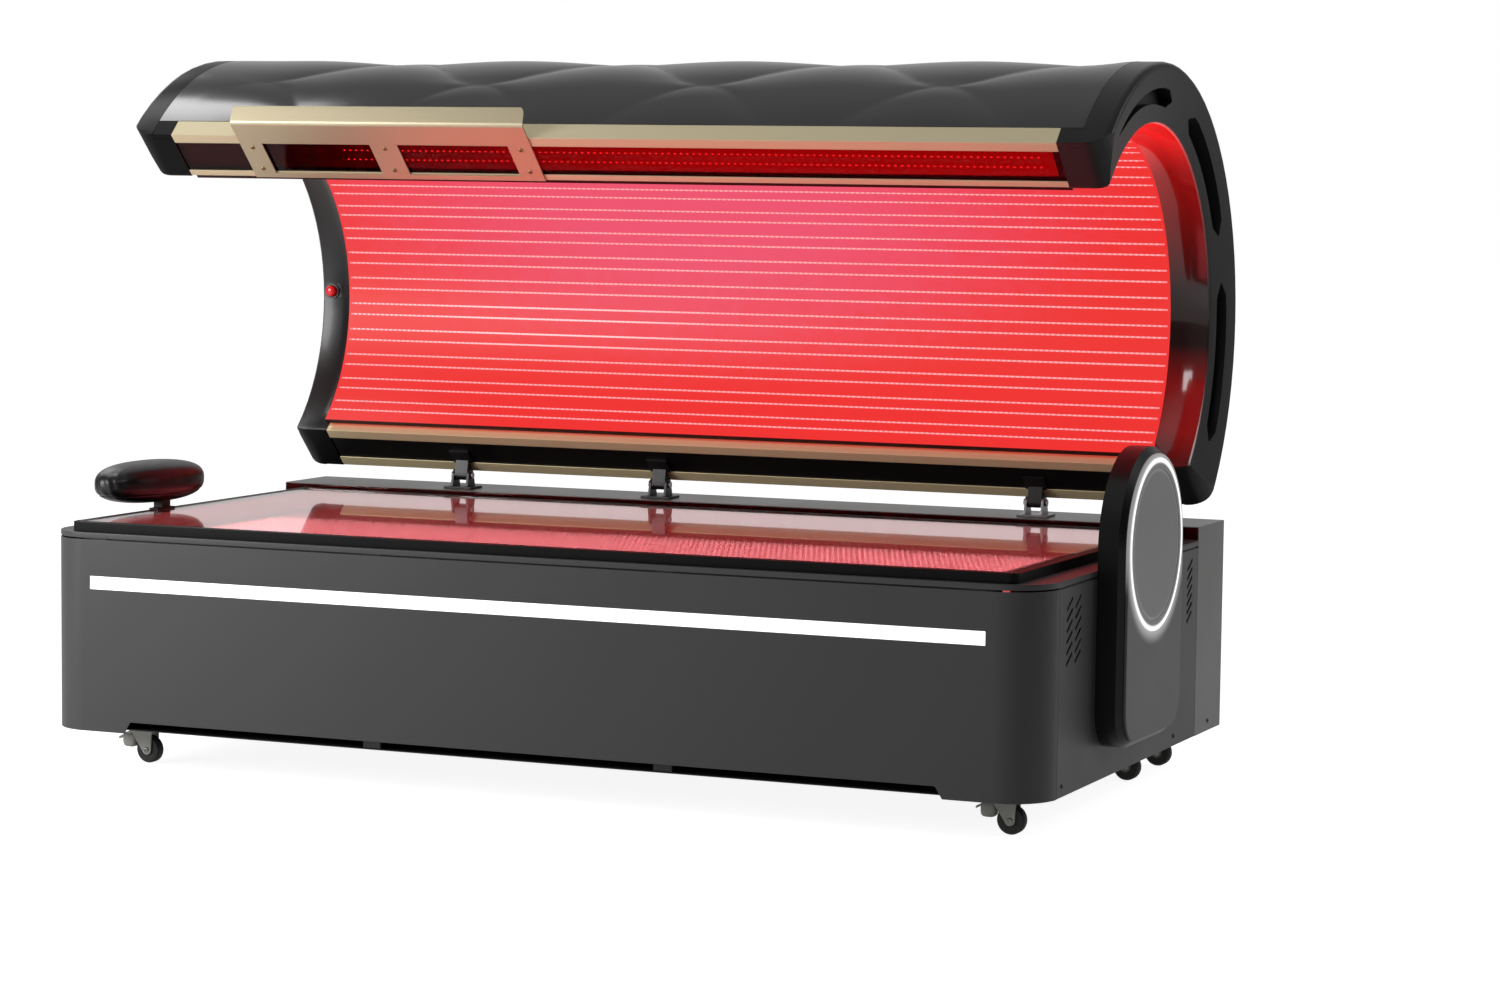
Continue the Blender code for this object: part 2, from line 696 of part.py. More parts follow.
# Canopy, on an empty at the hinge line
hinge = bpy.data.objects.new("canopy_hinge", None)
PARTS.objects.link(hinge)
hinge.location = (0, HINGE_Y, HINGE_Z)
hinge.rotation_euler = (-CANOPY_OPEN, 0, 0)


def swung(name, mesh, mat):
    """A canopy piece, drawn closed and carried by the hinge empty."""
    return place(name, mesh, mat, hinge)


def bar(name, y0, y1, z0, z1, reach, mat):
    """A straight piece along the canopy, with y and z counted from the canopy's axis."""
    lo = (-reach, AXIS_Y + y0, AXIS_Z + z0)
    hi = (reach, AXIS_Y + y1, AXIS_Z + z1)
    return swung(name, box(lo, hi), mat)


def angle_bar(name, points, reach, mat):
    """A straight piece with a folded section, with its points counted from the canopy's axis."""
    line = [(AXIS_Y + y, AXIS_Z + z) for y, z in points]
    return swung(name, slab([line], -reach, reach, "X"), mat)


def relief(x, turn):
    """Depth of the outside under SHELL_R: lens-shaped pillows in rows, between creases that wave along the canopy.

    Crease n runs at WAVE_TURN + n * WAVE_ROW degrees and swings by half a row, the odd ones the other way, so
    that neighbours touch. The relief fades out at the lips and at the caps.
    """
    swing = WAVE_ROW / 2 * math.cos(2 * math.pi * (x - WAVE_AT) / WAVE_LONG)
    row = math.floor((turn - WAVE_TURN) / WAVE_ROW)
    creases = [WAVE_TURN + n * WAVE_ROW + (swing if n % 2 == 0 else -swing) for n in range(row - 1, row + 3)]
    low = max([crease for crease in creases if crease <= turn])
    high = min([crease for crease in creases if crease > turn])
    across = (2 * turn - low - high) / (high - low)
    pillow = (1 - across**2) * ((high - low) / (2 * WAVE_ROW)) ** 0.75
    fade = min(1.0, math.sin(math.radians(turn)) / 0.4) * min(1.0, (SHELL_HALF - abs(x)) / CAP_BAND)
    return RELIEF * (1 - pillow) * max(0.0, fade)


def shell_ring(x):
    """The shell's section at one X: the waved outside from the front round to the rear, then back inside."""
    low = math.degrees(math.asin((TRIM_TALL + GAP) / SHELL_R))
    turns = [180 - low, *ARCH_TURNS[1:]]
    out = []
    inner = []
    for turn in turns:
        a = math.radians(turn)
        for r, line in ((SHELL_R - relief(x, turn), out), (SHELL_IN, inner)):
            line.append((x, AXIS_Y + r * math.cos(a), AXIS_Z + r * math.sin(a)))
    return out + inner[::-1]


stations = [-SHELL_HALF + 2 * SHELL_HALF * i / 34 for i in range(35)]
swung("canopy_shell", loft([shell_ring(x) for x in stations]), SHELL)


def arch(inner, outer, start, end, low, high, steps=36):
    """A half-round band about the canopy's axis."""
    line = arc(AXIS_Y, AXIS_Z, outer, start, end, steps)
    line += arc(AXIS_Y, AXIS_Z, inner, end, start, steps)
    return slab([line], low, high, "X")


RAIL_HALF = BAND_HALF - GAP
swung("canopy_light_panel", arch(LIGHT_R, LIGHT_OUT, 0, 180, -RAIL_HALF, RAIL_HALF), RED)

# Chords lie inside their arc by up to CHORD, so the ribs keep that far from the panel and the shell.
# Each rib stands on a foot behind the rear trim, and reaches the panel above that trim.
CHORD = 0.0022
TRIM_BACK = INNER_Y + LIP_SHEET + 2 * GAP
rib_start = math.degrees(math.asin((REAR_TALL + SLACK) / LIGHT_OUT))
foot_in = math.hypot(TRIM_BACK, REAR_TALL + SLACK)
WINDOW_LOW = -LIP + LIP_SHEET + GAP
WINDOW_TOP = WINDOW_LOW + WINDOW_THICK
CHANNEL_TOP = WINDOW_LOW + CHANNEL_THICK
pieces = []
for share in (-1, -1 / 3, 1 / 3, 1):
    x = share * (BAND_HALF - RIB_IN)
    low, high = x - RIB_THICK / 2, x + RIB_THICK / 2
    pieces.append(arch(LIGHT_OUT + CHORD, SHELL_IN - CHORD / 2, rib_start, 179.2, low, high, 20))
    foot_low, foot_high = low + S / 2, high - S / 2
    pieces.append(arch(foot_in, SHELL_IN - 2 * CHORD, 0.8, 2 * rib_start, foot_low, foot_high, 6))
RAIL_IN = LIGHT_OUT + 2 * GAP
for y0, y1, z0, z1 in (
    (-TRIM_Y + LIP_SHEET + 2 * S, -RAIL_IN, GAP, RAIL_TALL),
    (TRIM_BACK, SHELL_IN - 3 * S, CHANNEL_TOP + GAP, RAIL_TALL + GAP),
):
    pieces.append(box((-RAIL_HALF, AXIS_Y + y0, AXIS_Z + z0), (RAIL_HALF, AXIS_Y + y1, AXIS_Z + z1)))
swung("canopy_frame", joined(pieces), FRAME)

# Lips: folded trims clamp the window in front and the channel at the rear
LIP_TOP = -2 * GAP


def folded(edge, wide, tall):
    """The section of a folded strip: a leg of one width under the lip and an upright leg at its edge."""
    turn = 1 if edge < 0 else -1
    if abs(edge) == INNER_Y:
        turn = -turn
    thick = turn * LIP_SHEET
    far = edge + turn * wide
    return [
        (edge, -LIP),
        (far, -LIP),
        (far, -LIP + LIP_SHEET),
        (edge + thick, -LIP + LIP_SHEET),
        (edge + thick, tall),
        (edge, tall),
    ]


angle_bar("trim_front_outer", folded(-TRIM_Y, TRIM_WIDE, TRIM_TALL), RAIL_HALF, GOLD)
angle_bar("trim_front_inner", folded(-INNER_Y, STRIP_WIDE, LIP_TOP), RAIL_HALF, GOLD)
angle_bar("trim_rear_inner", folded(INNER_Y, TRIM_WIDE + 2 * S, REAR_TALL), RAIL_HALF, GOLD)
angle_bar("trim_rear_outer", folded(REAR_EDGE, REAR_STRIP + S, LIP_TOP), RAIL_HALF, GOLD)
FOLD = LIP_SHEET + GAP
bar("front_window", -TRIM_Y + FOLD, -INNER_Y - FOLD, WINDOW_LOW, WINDOW_TOP, RAIL_HALF, SMOKE)
bar("rear_channel", INNER_Y + FOLD, REAR_EDGE - FOLD, WINDOW_LOW, CHANNEL_TOP, RAIL_HALF, BLACK)
bar(
    "front_light_bar",
    -TRIM_Y + TRIM_WIDE,
    -INNER_Y - TRIM_WIDE,
    WINDOW_TOP + GAP,
    0.0,
    RAIL_HALF - RIB_IN / 2,
    RED,
)

# Handle: a bent plate under the front lip with a flange standing clear of it
PLATE_TOP = -LIP - GAP
PLATE_LOW = PLATE_TOP - HANDLE_SHEET
OUT_Y = -TRIM_Y - HANDLE_OUT
bend_at = (OUT_Y + HANDLE_BEND, PLATE_LOW + HANDLE_BEND)
bend_end = -180 + math.degrees(HANDLE_LEAN)
lean = (-math.sin(HANDLE_LEAN), math.cos(HANDLE_LEAN))
bend_out = arc(*bend_at, HANDLE_BEND, bend_end, -90, 6)
bend_in = arc(*bend_at, HANDLE_BEND - HANDLE_SHEET, -90, bend_end, 6)
rim_out = [bend_out[0][k] + HANDLE_FLANGE * lean[k] for k in (0, 1)]
rim_in = [bend_in[-1][k] + HANDLE_FLANGE * lean[k] for k in (0, 1)]
handle_line = [(-INNER_Y, PLATE_LOW), (-INNER_Y, PLATE_TOP), *bend_in, rim_in, rim_out, *bend_out]
plate = slab([[(AXIS_Y + y, AXIS_Z + z) for y, z in handle_line]], HANDLE_X0, HANDLE_X1, "X")
window_long = (HANDLE_LONG - 2 * HANDLE_LEG - HANDLE_MID) / 2
WIN_OUT = AXIS_Y - TRIM_Y + TRIM_WIDE - SLACK
WIN_IN = AXIS_Y - INNER_Y - STRIP_WIDE + 2 * S
cutters = []
for k in (0, 1):
    x = HANDLE_X0 + HANDLE_LEG + k * (window_long + HANDLE_MID)
    low = (x, WIN_OUT, AXIS_Z + PLATE_LOW - SLACK)
    cutters.append(box(low, (x + window_long, WIN_IN, AXIS_Z + PLATE_TOP + SLACK)))
for x, turn in ((HANDLE_X0, 1), (HANDLE_X1, -1)):
    top = AXIS_Z + max(rim_in[1], rim_out[1])
    mid = x + turn * HANDLE_CORNER
    line = arc(mid, top - HANDLE_CORNER, HANDLE_CORNER, 90, 90 + turn * 90, 6)
    line += [(x - turn * SLACK, top - HANDLE_CORNER), (x - turn * SLACK, top + SLACK), (mid, top + SLACK)]
    cutters.append(along_y(line, AXIS_Y + rim_out[0] - SLACK, AXIS_Y + OUT_Y + HANDLE_BEND))
swung("handle", cut(plate, *cutters), GOLD)

# End caps: one section swept round the arch, with a dished outer face and slots in it
round_x = CAP_END - CAP_ROUND
round_r = SHELL_R - CAP_ROUND
dish_x = CAP_END - CAP_DISH
under_shell = SHELL_IN - GAP
cap_line = [(CAP_R, BAND_HALF + CAP_SLOPE), (CAP_R, dish_x - CAP_BEVEL), (CAP_R + CAP_BEVEL, dish_x)]
for a in (0, 30, 60, 90):
    turn = math.radians(a)
    cap_line.append((round_r + CAP_ROUND * math.sin(turn), round_x + CAP_ROUND * math.cos(turn)))
cap_line += [(SHELL_R, SHELL_HALF + GAP), (under_shell, SHELL_HALF + GAP), (under_shell, BAND_HALF)]


def cap_rings(side):
    """The cap's section at each turn, with a straight run down to the lips at both ends.

    Between the lips the section's inner edge reaches in to hold the end of the light panel.
    """
    rings = []
    for turn, drop in [(180, LIP)] + [(turn, 0.0) for turn in ARCH_TURNS] + [(0, LIP)]:
        c, s = math.cos(math.radians(turn)), math.sin(math.radians(turn))
        hold = (LIGHT_R - GAP if 0 < turn < 180 else CAP_R, BAND_HALF)
        rings.append([(side * x, AXIS_Y + r * c, AXIS_Z + r * s - drop) for r, x in [hold, *cap_line]])
    return rings


def lip_fillers(side):
    """Blocks that close the corners between the shell's ends, the trims' ends and the cap."""
    low, high = span(side, BAND_HALF + GAP, SHELL_HALF + 3 * S)
    made = []
    for turn, top in ((-1, TRIM_TALL - 2 * GAP), (1, -GAP)):
        y0, y1 = sorted((AXIS_Y + turn * (under_shell - 3 * S), AXIS_Y + turn * (SHELL_R - S)))
        made.append(box((low, y0, AXIS_Z - LIP + S / 2), (high, y1, AXIS_Z + top)))
    return made


# Each slot: where it starts and ends, and its reach inwards from the slots' middle at both ends
SLOTS = ((12, 55, SLOT_HALF, SLOT_HALF), (68, 111, SLOT_HALF, SLOT_HALF), (126.5, 172, SLOT_HALF, -0.6 * SLOT_HALF))


def slot_cutters(side):
    """Curved slots in the cap's outer face, with round ends."""
    made = []
    for start, end, wide_a, wide_b in SLOTS:
        upper = []
        lower = []
        for i in range(13):
            f = i / 12
            a = math.radians(start + (end - start) * f)
            reach = wide_a + (wide_b - wide_a) * f
            mid = SLOT_R + (SLOT_HALF - reach) / 2
            wide = (SLOT_HALF + reach) / 2 * (math.sqrt(max(0.0, 1 - abs(2 * f - 1) ** 10)) * 0.9 + 0.1)
            for r, line in ((mid + wide, upper), (mid - wide, lower)):
                line.append((AXIS_Y + r * math.cos(a), AXIS_Z + r * math.sin(a)))
        low, high = span(side, CAP_END - SLOT_DEEP, CAP_END + SLACK)
        made.append(slab([upper + lower[::-1]], low, high, "X"))
    return made


def lip_cutter(side):
    """Takes the corner between the lips and the cap's outer face down to a round."""
    mid_x = CAP_END - LIP_ROUND
    low = AXIS_Z - LIP
    line = arc(mid_x, low + LIP_ROUND, LIP_ROUND, 270, 360, 8)
    line += [(CAP_END + SLACK, low + LIP_ROUND), (CAP_END + SLACK, low - SLACK), (mid_x, low - SLACK)]
    reach = SHELL_R + CAP_BAND
    return along_y([(side * x, z) for x, z in line], AXIS_Y - reach, AXIS_Y + reach)


def radial(mesh):
    """Turns a piece drawn along +Z so that it points outwards at the button, with z = 0 on the cap's inside."""
    mesh.transform(Matrix.Rotation(BUTTON_ANGLE - math.pi / 2, 4, "X"))
    y = AXIS_Y + CAP_R * math.cos(BUTTON_ANGLE)
    z = AXIS_Z + CAP_R * math.sin(BUTTON_ANGLE)
    return moved(mesh, (BUTTON_X, y, z))


BUTTON_DEEP = 0.015
BUTTON_TRAVEL = 0.004
bore_end = BUTTON_DEEP + BUTTON_TRAVEL + SLACK
button_bore = radial(rod(BUTTON_R + BUTTON_SLACK, -2 * SLACK, bore_end))
caps = {side: joined([loft(cap_rings(side)), *lip_fillers(side)]) for side in (-1, 1)}
swung("end_cap_left", cut(caps[-1], *slot_cutters(-1), lip_cutter(-1), button_bore), BLACK)
swung("end_cap_right", cut(caps[1], *slot_cutters(1), lip_cutter(1)), BLACK)
bezel_in = BUTTON_R + 2 * BUTTON_SLACK
bezel_out = bezel_in + SLACK
bezel = turned([(bezel_out, -0.8 * S), (bezel_out, -4 * S), (bezel_in, -4 * S), (bezel_in, -0.8 * S)])
swung("button_bezel", radial(bezel), STEEL)
button = turned(
    [
        (0.0, BUTTON_DEEP),
        (BUTTON_R, BUTTON_DEEP),
        (BUTTON_R, -10 * S),
        (0.83 * BUTTON_R, -14 * S),
        (0.43 * BUTTON_R, -15.5 * S),
        (0.0, -16 * S),
    ]
)
swung("push_button", radial(button), KNOB)

# Hinges: clevis brackets on the ledge, lugs on the rear channel, pins across
CHANNEL_LOW = AXIS_Z + WINDOW_LOW - GAP
LEAF_LOW = CHANNEL_LOW - LEAF_THICK
FOOT_LOW = LEDGE_TOP + GAP
FOOT_TOP = FOOT_LOW + FOOT_THICK
axis_at = (0, HINGE_Y, HINGE_Z)
for name, x in HINGE_XS.items():
    mat = BLACK if name == "centre" else STEEL
    lug_half = LUG_WIDE / 2
    cheek_in = lug_half + LUG_SIDE
    cheek_out = cheek_in + CHEEK
    foot_low = (x - FOOT_LONG / 2, HINGE_Y - FOOT_WIDE / 2, FOOT_LOW)
    clevis = [box(foot_low, (x + FOOT_LONG / 2, HINGE_Y + FOOT_WIDE / 2, FOOT_TOP))]
    for side in (-1, 1):
        low, high = sorted((x + side * cheek_in, x + side * cheek_out))
        line = [(HINGE_Y - FOOT_WIDE / 3, FOOT_TOP - S), (HINGE_Y + FOOT_WIDE / 3, FOOT_TOP - S)]
        line += arc(HINGE_Y, HINGE_Z, LUG_R + 1.5 * S, 0, 180, 10)
        clevis.append(slab([line], low, high, "X"))
    hole = rod(PIN_R + RUN, x - FOOT_LONG, x + FOOT_LONG, axis_at, "X")
    place("hinge_bracket_" + name, cut(joined(clevis), hole), mat)
    head = cheek_out + GAP
    end = head + SLACK
    pin = joined(
        [
            rod(PIN_R, x - head - S, x + head + S, axis_at, "X"),
            rod(PIN_R + PIN_HEAD, x - end, x - head, axis_at, "X"),
            rod(PIN_R + PIN_HEAD, x + head, x + end, axis_at, "X"),
        ]
    )
    place("hinge_pin_" + name, pin, STEEL)
    lug_line = [(-2.5 * LUG_R, LEAF_LOW + S), (-LUG_R + S, -LUG_R / 3)]
    lug_line += arc(0.0, 0.0, LUG_R, 200, 360, 12)
    lug_line += [(LUG_R - 3 * S, LEAF_LOW + S)]
    lug = slab([lug_line], x - lug_half, x + lug_half, "X")
    leaf_edge = AXIS_Y + REAR_EDGE - REAR_STRIP - 4 * S
    leaf_low = (x - LEAF_LONG / 2, leaf_edge - LEAF_WIDE, LEAF_LOW)
    leaf = box(leaf_low, (x + LEAF_LONG / 2, leaf_edge, CHANNEL_LOW))
    bore = rod(PIN_R + RUN, x - LEAF_LONG, x + LEAF_LONG, (0, 0, 0), "X")
    swung("hinge_leaf_" + name, cut(joined([leaf, lug]), bore), mat)

# Casters: a swivel fork with its axle and brake pedal, and a wheel
HEAD_LOW = HEAD_TOP - HEAD_TALL
CROWN_LOW = 2 * WHEEL_R + 6 * S
for side, end in ((-1, "left"), (1, "right")):
    for y, row in zip(CASTER_YS, ("front", "mid", "rear")):
        name = end + "_" + row
        reach = WHEEL_WIDE / 2 + WHEEL_SIDE
        outside = reach + FORK_SHEET
        fork = [rod(HEAD_R, HEAD_LOW, HEAD_TOP), rod(STUD_R, HEAD_TOP - 0.4 * HEAD_TALL, FRAME_LOW + STUD_LONG)]
        crown_low = (-HEAD_R + SLACK, -outside + 0.5 * S, CROWN_LOW)
        fork.append(box(crown_low, (TRAIL + 14 * S, outside - 0.5 * S, HEAD_LOW + 2 * S)))
        for low, high in ((reach, outside), (-outside, -reach)):
            line = [(-18 * S, CROWN_LOW + SLACK), (TRAIL - 11 * S, WHEEL_R - 2 * S)]
            line += arc(TRAIL, WHEEL_R, 11 * S, 190, 350, 6)
            line += [(TRAIL + 13 * S, CROWN_LOW + SLACK)]
            fork.append(along_y(line, low, high))
        axle = rod(AXLE_R, -reach - 2 * S, reach + 2 * S)
        axle.transform(Matrix.Rotation(math.pi / 2, 4, "X"))
        fork.append(moved(axle, (TRAIL, 0, WHEEL_R)))
        pedal = [(-HEAD_R + 3 * SLACK, CROWN_LOW + 2 * S), (-HEAD_R + 3 * SLACK, CROWN_LOW + 9 * S)]
        pedal += [(-HEAD_R - PEDAL_LONG, CROWN_LOW - 12 * S), (-HEAD_R - PEDAL_LONG, CROWN_LOW - 17 * S)]
        fork.append(along_y(pedal, -0.7 * outside, 0.7 * outside))
        fork_obj = place("caster_fork_" + name, joined(fork), FORK)
        wide = WHEEL_WIDE / 2
        bore_r = AXLE_R + RUN
        wheel = turned(
            [
                (WHEEL_R - SLACK, wide),
                (WHEEL_R, wide - 5 * S),
                (WHEEL_R, -wide + 5 * S),
                (WHEEL_R - SLACK, -wide),
                (bore_r, -wide),
                (bore_r, wide),
            ],
            steps=32,
        )
        wheel.transform(Matrix.Rotation(math.pi / 2, 4, "X"))
        wheel_obj = place("caster_wheel_" + name, wheel, RUBBER)
        fork_obj.location = (side * CASTER_X, y, 0)
        wheel_obj.parent = fork_obj
        wheel_obj.location = (TRAIL, 0, WHEEL_R)

# Headrest: a post on the left rail of the bed frame and a crowned cushion in its saddle


def cushion(grow):
    """The cushion as an ellipsoid, grown evenly to cut its saddle."""
    bm = bmesh.new()
    bmesh.ops.create_uvsphere(bm, u_segments=32, v_segments=16, radius=1.0)
    bmesh.ops.scale(bm, vec=[h + grow for h in REST_HALF], verts=bm.verts)
    bmesh.ops.translate(bm, vec=REST_AT, verts=bm.verts)
    mesh = bpy.data.meshes.new("cushion")
    bm.to_mesh(mesh)
    bm.free()
    return mesh


POST_X = -BED_X + BED_BORDER / 2
POST_HALF = BED_BORDER / 2 - GAP
FOOT_Z = BED_TOP + GAP
base_low = (POST_X - POST_HALF, REST_AT[1] - POST_WIDE, FOOT_Z)
stem_low = (POST_X - POST_HALF + S, REST_AT[1] - POST_WIDE / 2, FOOT_Z + 2 * S)
post = joined(
    [
        box(base_low, (POST_X + POST_HALF, REST_AT[1] + POST_WIDE, FOOT_Z + SLACK)),
        box(stem_low, (POST_X + POST_HALF - S, REST_AT[1] + POST_WIDE / 2, REST_AT[2] - REST_HALF[2] / 3)),
    ]
)
place("headrest_post", cut(post, cushion(0.5 * S)), BLACK)
place("headrest_cushion", cushion(0.0), LEATHER)


def centre_on_floor():
    """Shifts everything so that the middle of the whole footprint is the origin."""
    bpy.context.view_layer.update()
    meshes = [obj for obj in PARTS.objects if obj.type == "MESH"]
    corners = [obj.matrix_world @ v.co for obj in meshes for v in obj.data.vertices]
    shift = [-(min(c[k] for c in corners) + max(c[k] for c in corners)) / 2 for k in (0, 1)]
    for obj in PARTS.objects:
        if obj.parent is None:
            obj.location.x += shift[0]
            obj.location.y += shift[1]


centre_on_floor()
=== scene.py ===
"""Light therapy bed for the render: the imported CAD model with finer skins, lamps, screws and materials.

Metres, in the CAD model's frame: +X runs to the pod end, +Y to the hinge side, +Z up. The canopy rests open.
"""

import json
import math

import bmesh
import bpy
import numpy as np
from mathutils import Matrix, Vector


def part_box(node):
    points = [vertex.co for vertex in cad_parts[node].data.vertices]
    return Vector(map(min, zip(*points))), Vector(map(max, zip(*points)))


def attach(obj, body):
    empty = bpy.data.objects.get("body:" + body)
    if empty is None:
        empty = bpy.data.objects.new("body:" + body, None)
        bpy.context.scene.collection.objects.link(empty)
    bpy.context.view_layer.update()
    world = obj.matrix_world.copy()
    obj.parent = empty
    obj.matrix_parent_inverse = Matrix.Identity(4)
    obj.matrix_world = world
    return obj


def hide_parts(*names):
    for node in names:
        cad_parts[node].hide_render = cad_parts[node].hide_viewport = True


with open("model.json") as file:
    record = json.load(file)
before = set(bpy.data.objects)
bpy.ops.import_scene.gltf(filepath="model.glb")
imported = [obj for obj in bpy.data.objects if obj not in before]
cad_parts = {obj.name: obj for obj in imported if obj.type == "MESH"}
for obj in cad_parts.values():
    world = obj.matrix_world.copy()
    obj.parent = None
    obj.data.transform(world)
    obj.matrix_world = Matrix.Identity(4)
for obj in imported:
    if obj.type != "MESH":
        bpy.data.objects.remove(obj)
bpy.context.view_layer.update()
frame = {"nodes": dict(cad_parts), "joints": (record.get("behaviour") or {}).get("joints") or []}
NODES = frame["nodes"]

# The hinge line places everything else: the base's middle lies HINGE_BACK in front of it
HINGE = next(joint for joint in frame["joints"] if joint["name"] == "canopy_hinge")
HINGE_AT = np.array(HINGE["pos_m"])
OPEN = math.radians(HINGE["range_deg"][1])
HINGE_BACK = 0.485
MID = np.array([HINGE_AT[0], HINGE_AT[1] - HINGE_BACK, 0.0])

# Canopy sizes, counted from the hinge line with the canopy closed
SHELL_R = 0.562
SHELL_IN = 0.546
AXIS = np.array([0.0, 0.014 - SHELL_R, 0.039])
SHELL_HALF = 1.088
BAND_HALF = 1.040
CAP_R = 0.432
PANEL_R = 0.412
SHELL_EDGE = 0.0303
RELIEF = 0.011
WAVE_LONG = 0.545
WAVE_AT = -0.360
WAVE_ROW = 22.0
WAVE_TURN = 148.5
FADE_LEFT = 0.360
FADE_RIGHT = 0.110
FADE_LIPS = 0.4
PILLOW_POWER = 0.75
END_DARK = 0.0025

# Camera, fitted to the photograph: place from the base's middle, angles in degrees, focal length in pixels
CAMERA_AT = np.array([3.5355, -7.6894, 1.3433])
CAMERA_YAW = 23.0945
CAMERA_PITCH = 5.0456
CAMERA_ROLL = 0.6666
FOCAL = 3838.53
PHOTO_WIDE = 1500
SENSOR = 36.0


def place_camera():
    """The camera's axes: yaw about Z, then pitch down, then roll about the view."""
    yaw, pitch, roll = (math.radians(a) for a in (CAMERA_YAW, CAMERA_PITCH, CAMERA_ROLL))
    ahead = np.array([-math.sin(yaw) * math.cos(pitch), math.cos(yaw) * math.cos(pitch), -math.sin(pitch)])
    right = np.array([math.cos(yaw), math.sin(yaw), 0.0])
    up = np.cross(right, ahead)
    right, up = (
        math.cos(roll) * right + math.sin(roll) * up,
        math.cos(roll) * up - math.sin(roll) * right,
    )
    data = bpy.data.cameras.new("camera")
    data.sensor_width = SENSOR
    data.lens = FOCAL / PHOTO_WIDE * SENSOR
    data.clip_end = 100
    camera = bpy.data.objects.new("camera", data)
    bpy.context.scene.collection.objects.link(camera)
    turn = np.eye(4)
    turn[:3, :4] = np.column_stack([right, up, -ahead, CAMERA_AT + MID])
    camera.matrix_world = Matrix(turn.tolist())
    bpy.context.scene.camera = camera


place_camera()

# Materials


def linear(code):
    """An sRGB hex colour as linear RGBA."""
    srgb = np.array([int(code[i : i + 2], 16) for i in (1, 3, 5)]) / 255
    rgb = np.where(srgb <= 0.04045, srgb / 12.92, ((srgb + 0.055) / 1.055) ** 2.4)
    return (*rgb.tolist(), 1.0)


def add(tree, kind, inputs=None, **settings):
    """Adds a node, sets its properties, and fills its inputs with values or links."""
    made = tree.nodes.new("ShaderNode" + kind)
    for key, value in settings.items():
        setattr(made, key, value)
    for key, value in (inputs or {}).items():
        if isinstance(value, bpy.types.NodeSocket):
            tree.links.new(value, made.inputs[key])
        else:
            made.inputs[key].default_value = value
    return made


def start(name, colour, rough, **sockets):
    """A Principled material with plain values on its own sockets."""
    mat = bpy.data.materials.new(name)
    mat.use_nodes = True
    shader = mat.node_tree.nodes["Principled BSDF"]
    shader.inputs["Base Color"].default_value = linear(colour)
    shader.inputs["Roughness"].default_value = rough
    for key, value in sockets.items():
        shader.inputs[key.replace("_", " ")].default_value = value
    return mat, mat.node_tree, shader


def per_mm(size):
    """A noise scale whose cells are about this many millimetres wide, on Object coordinates in metres."""
    return 1000.0 / size


def powder_coat(name, colour, rough=0.42, shine=0.30):
    """Powder-coated steel sheet: satin, with the faint orange peel of a baked powder."""
    mat, tree, shader = start(name, colour, rough, Specular_IOR_Level=shine)
    where = add(tree, "TexCoord").outputs["Object"]
    peel = add(tree, "TexNoise", {"Vector": where, "Scale": per_mm(2.2), "Detail": 3.0})
    cloud = add(tree, "TexNoise", {"Vector": where, "Scale": per_mm(180.0), "Detail": 2.0})
    spread = {"Value": cloud.outputs["Fac"], "To Min": rough - 0.04, "To Max": rough + 0.05}
    gloss = add(tree, "MapRange", spread)
    bump = add(tree, "Bump", {"Height": peel.outputs["Fac"], "Strength": 0.05, "Distance": 0.0004})
    tree.links.new(gloss.outputs["Result"], shader.inputs["Roughness"])
    tree.links.new(bump.outputs["Normal"], shader.inputs["Normal"])
    return mat


def moulded(name, colour, low, high, grain=1.4, shine=0.4):
    """Moulded ABS: a fine spark-eroded grain, drawn a little coarser than life so that it shows."""
    mat, tree, shader = start(name, colour, low, Specular_IOR_Level=shine)
    where = add(tree, "TexCoord").outputs["Object"]
    pores = add(tree, "TexNoise", {"Vector": where, "Scale": per_mm(grain), "Detail": 4.0})
    cloud = add(tree, "TexNoise", {"Vector": where, "Scale": per_mm(90.0), "Detail": 2.0})
    rough = add(tree, "MapRange", {"Value": cloud.outputs["Fac"], "To Min": low, "To Max": high})
    bump = add(tree, "Bump", {"Height": pores.outputs["Fac"], "Strength": 0.06, "Distance": 0.0003})
    tree.links.new(rough.outputs["Result"], shader.inputs["Roughness"])
    tree.links.new(bump.outputs["Normal"], shader.inputs["Normal"])
    return mat


def brushed(name, colour, rough, along, metal):
    """Brushed metal under a clear finish: hair lines, drawn 0.8 mm wide so that they show."""
    mat, tree, shader = start(name, colour, rough, Metallic=metal)
    where = add(tree, "TexCoord").outputs["Object"]
    stretch = [per_mm(0.8)] * 3
    stretch[along] = per_mm(120.0)
    lined = add(tree, "Mapping", {"Vector": where, "Scale": stretch})
    lines = add(tree, "TexNoise", {"Vector": lined.outputs["Vector"], "Scale": 1.0, "Detail": 3.0})
    spread = {"Value": lines.outputs["Fac"], "To Min": rough - 0.08, "To Max": rough + 0.10}
    gloss = add(tree, "MapRange", spread)
    bump = add(tree, "Bump", {"Height": lines.outputs["Fac"], "Strength": 0.04, "Distance": 0.0002})
    tree.links.new(gloss.outputs["Result"], shader.inputs["Roughness"])
    tree.links.new(bump.outputs["Normal"], shader.inputs["Normal"])
    return mat


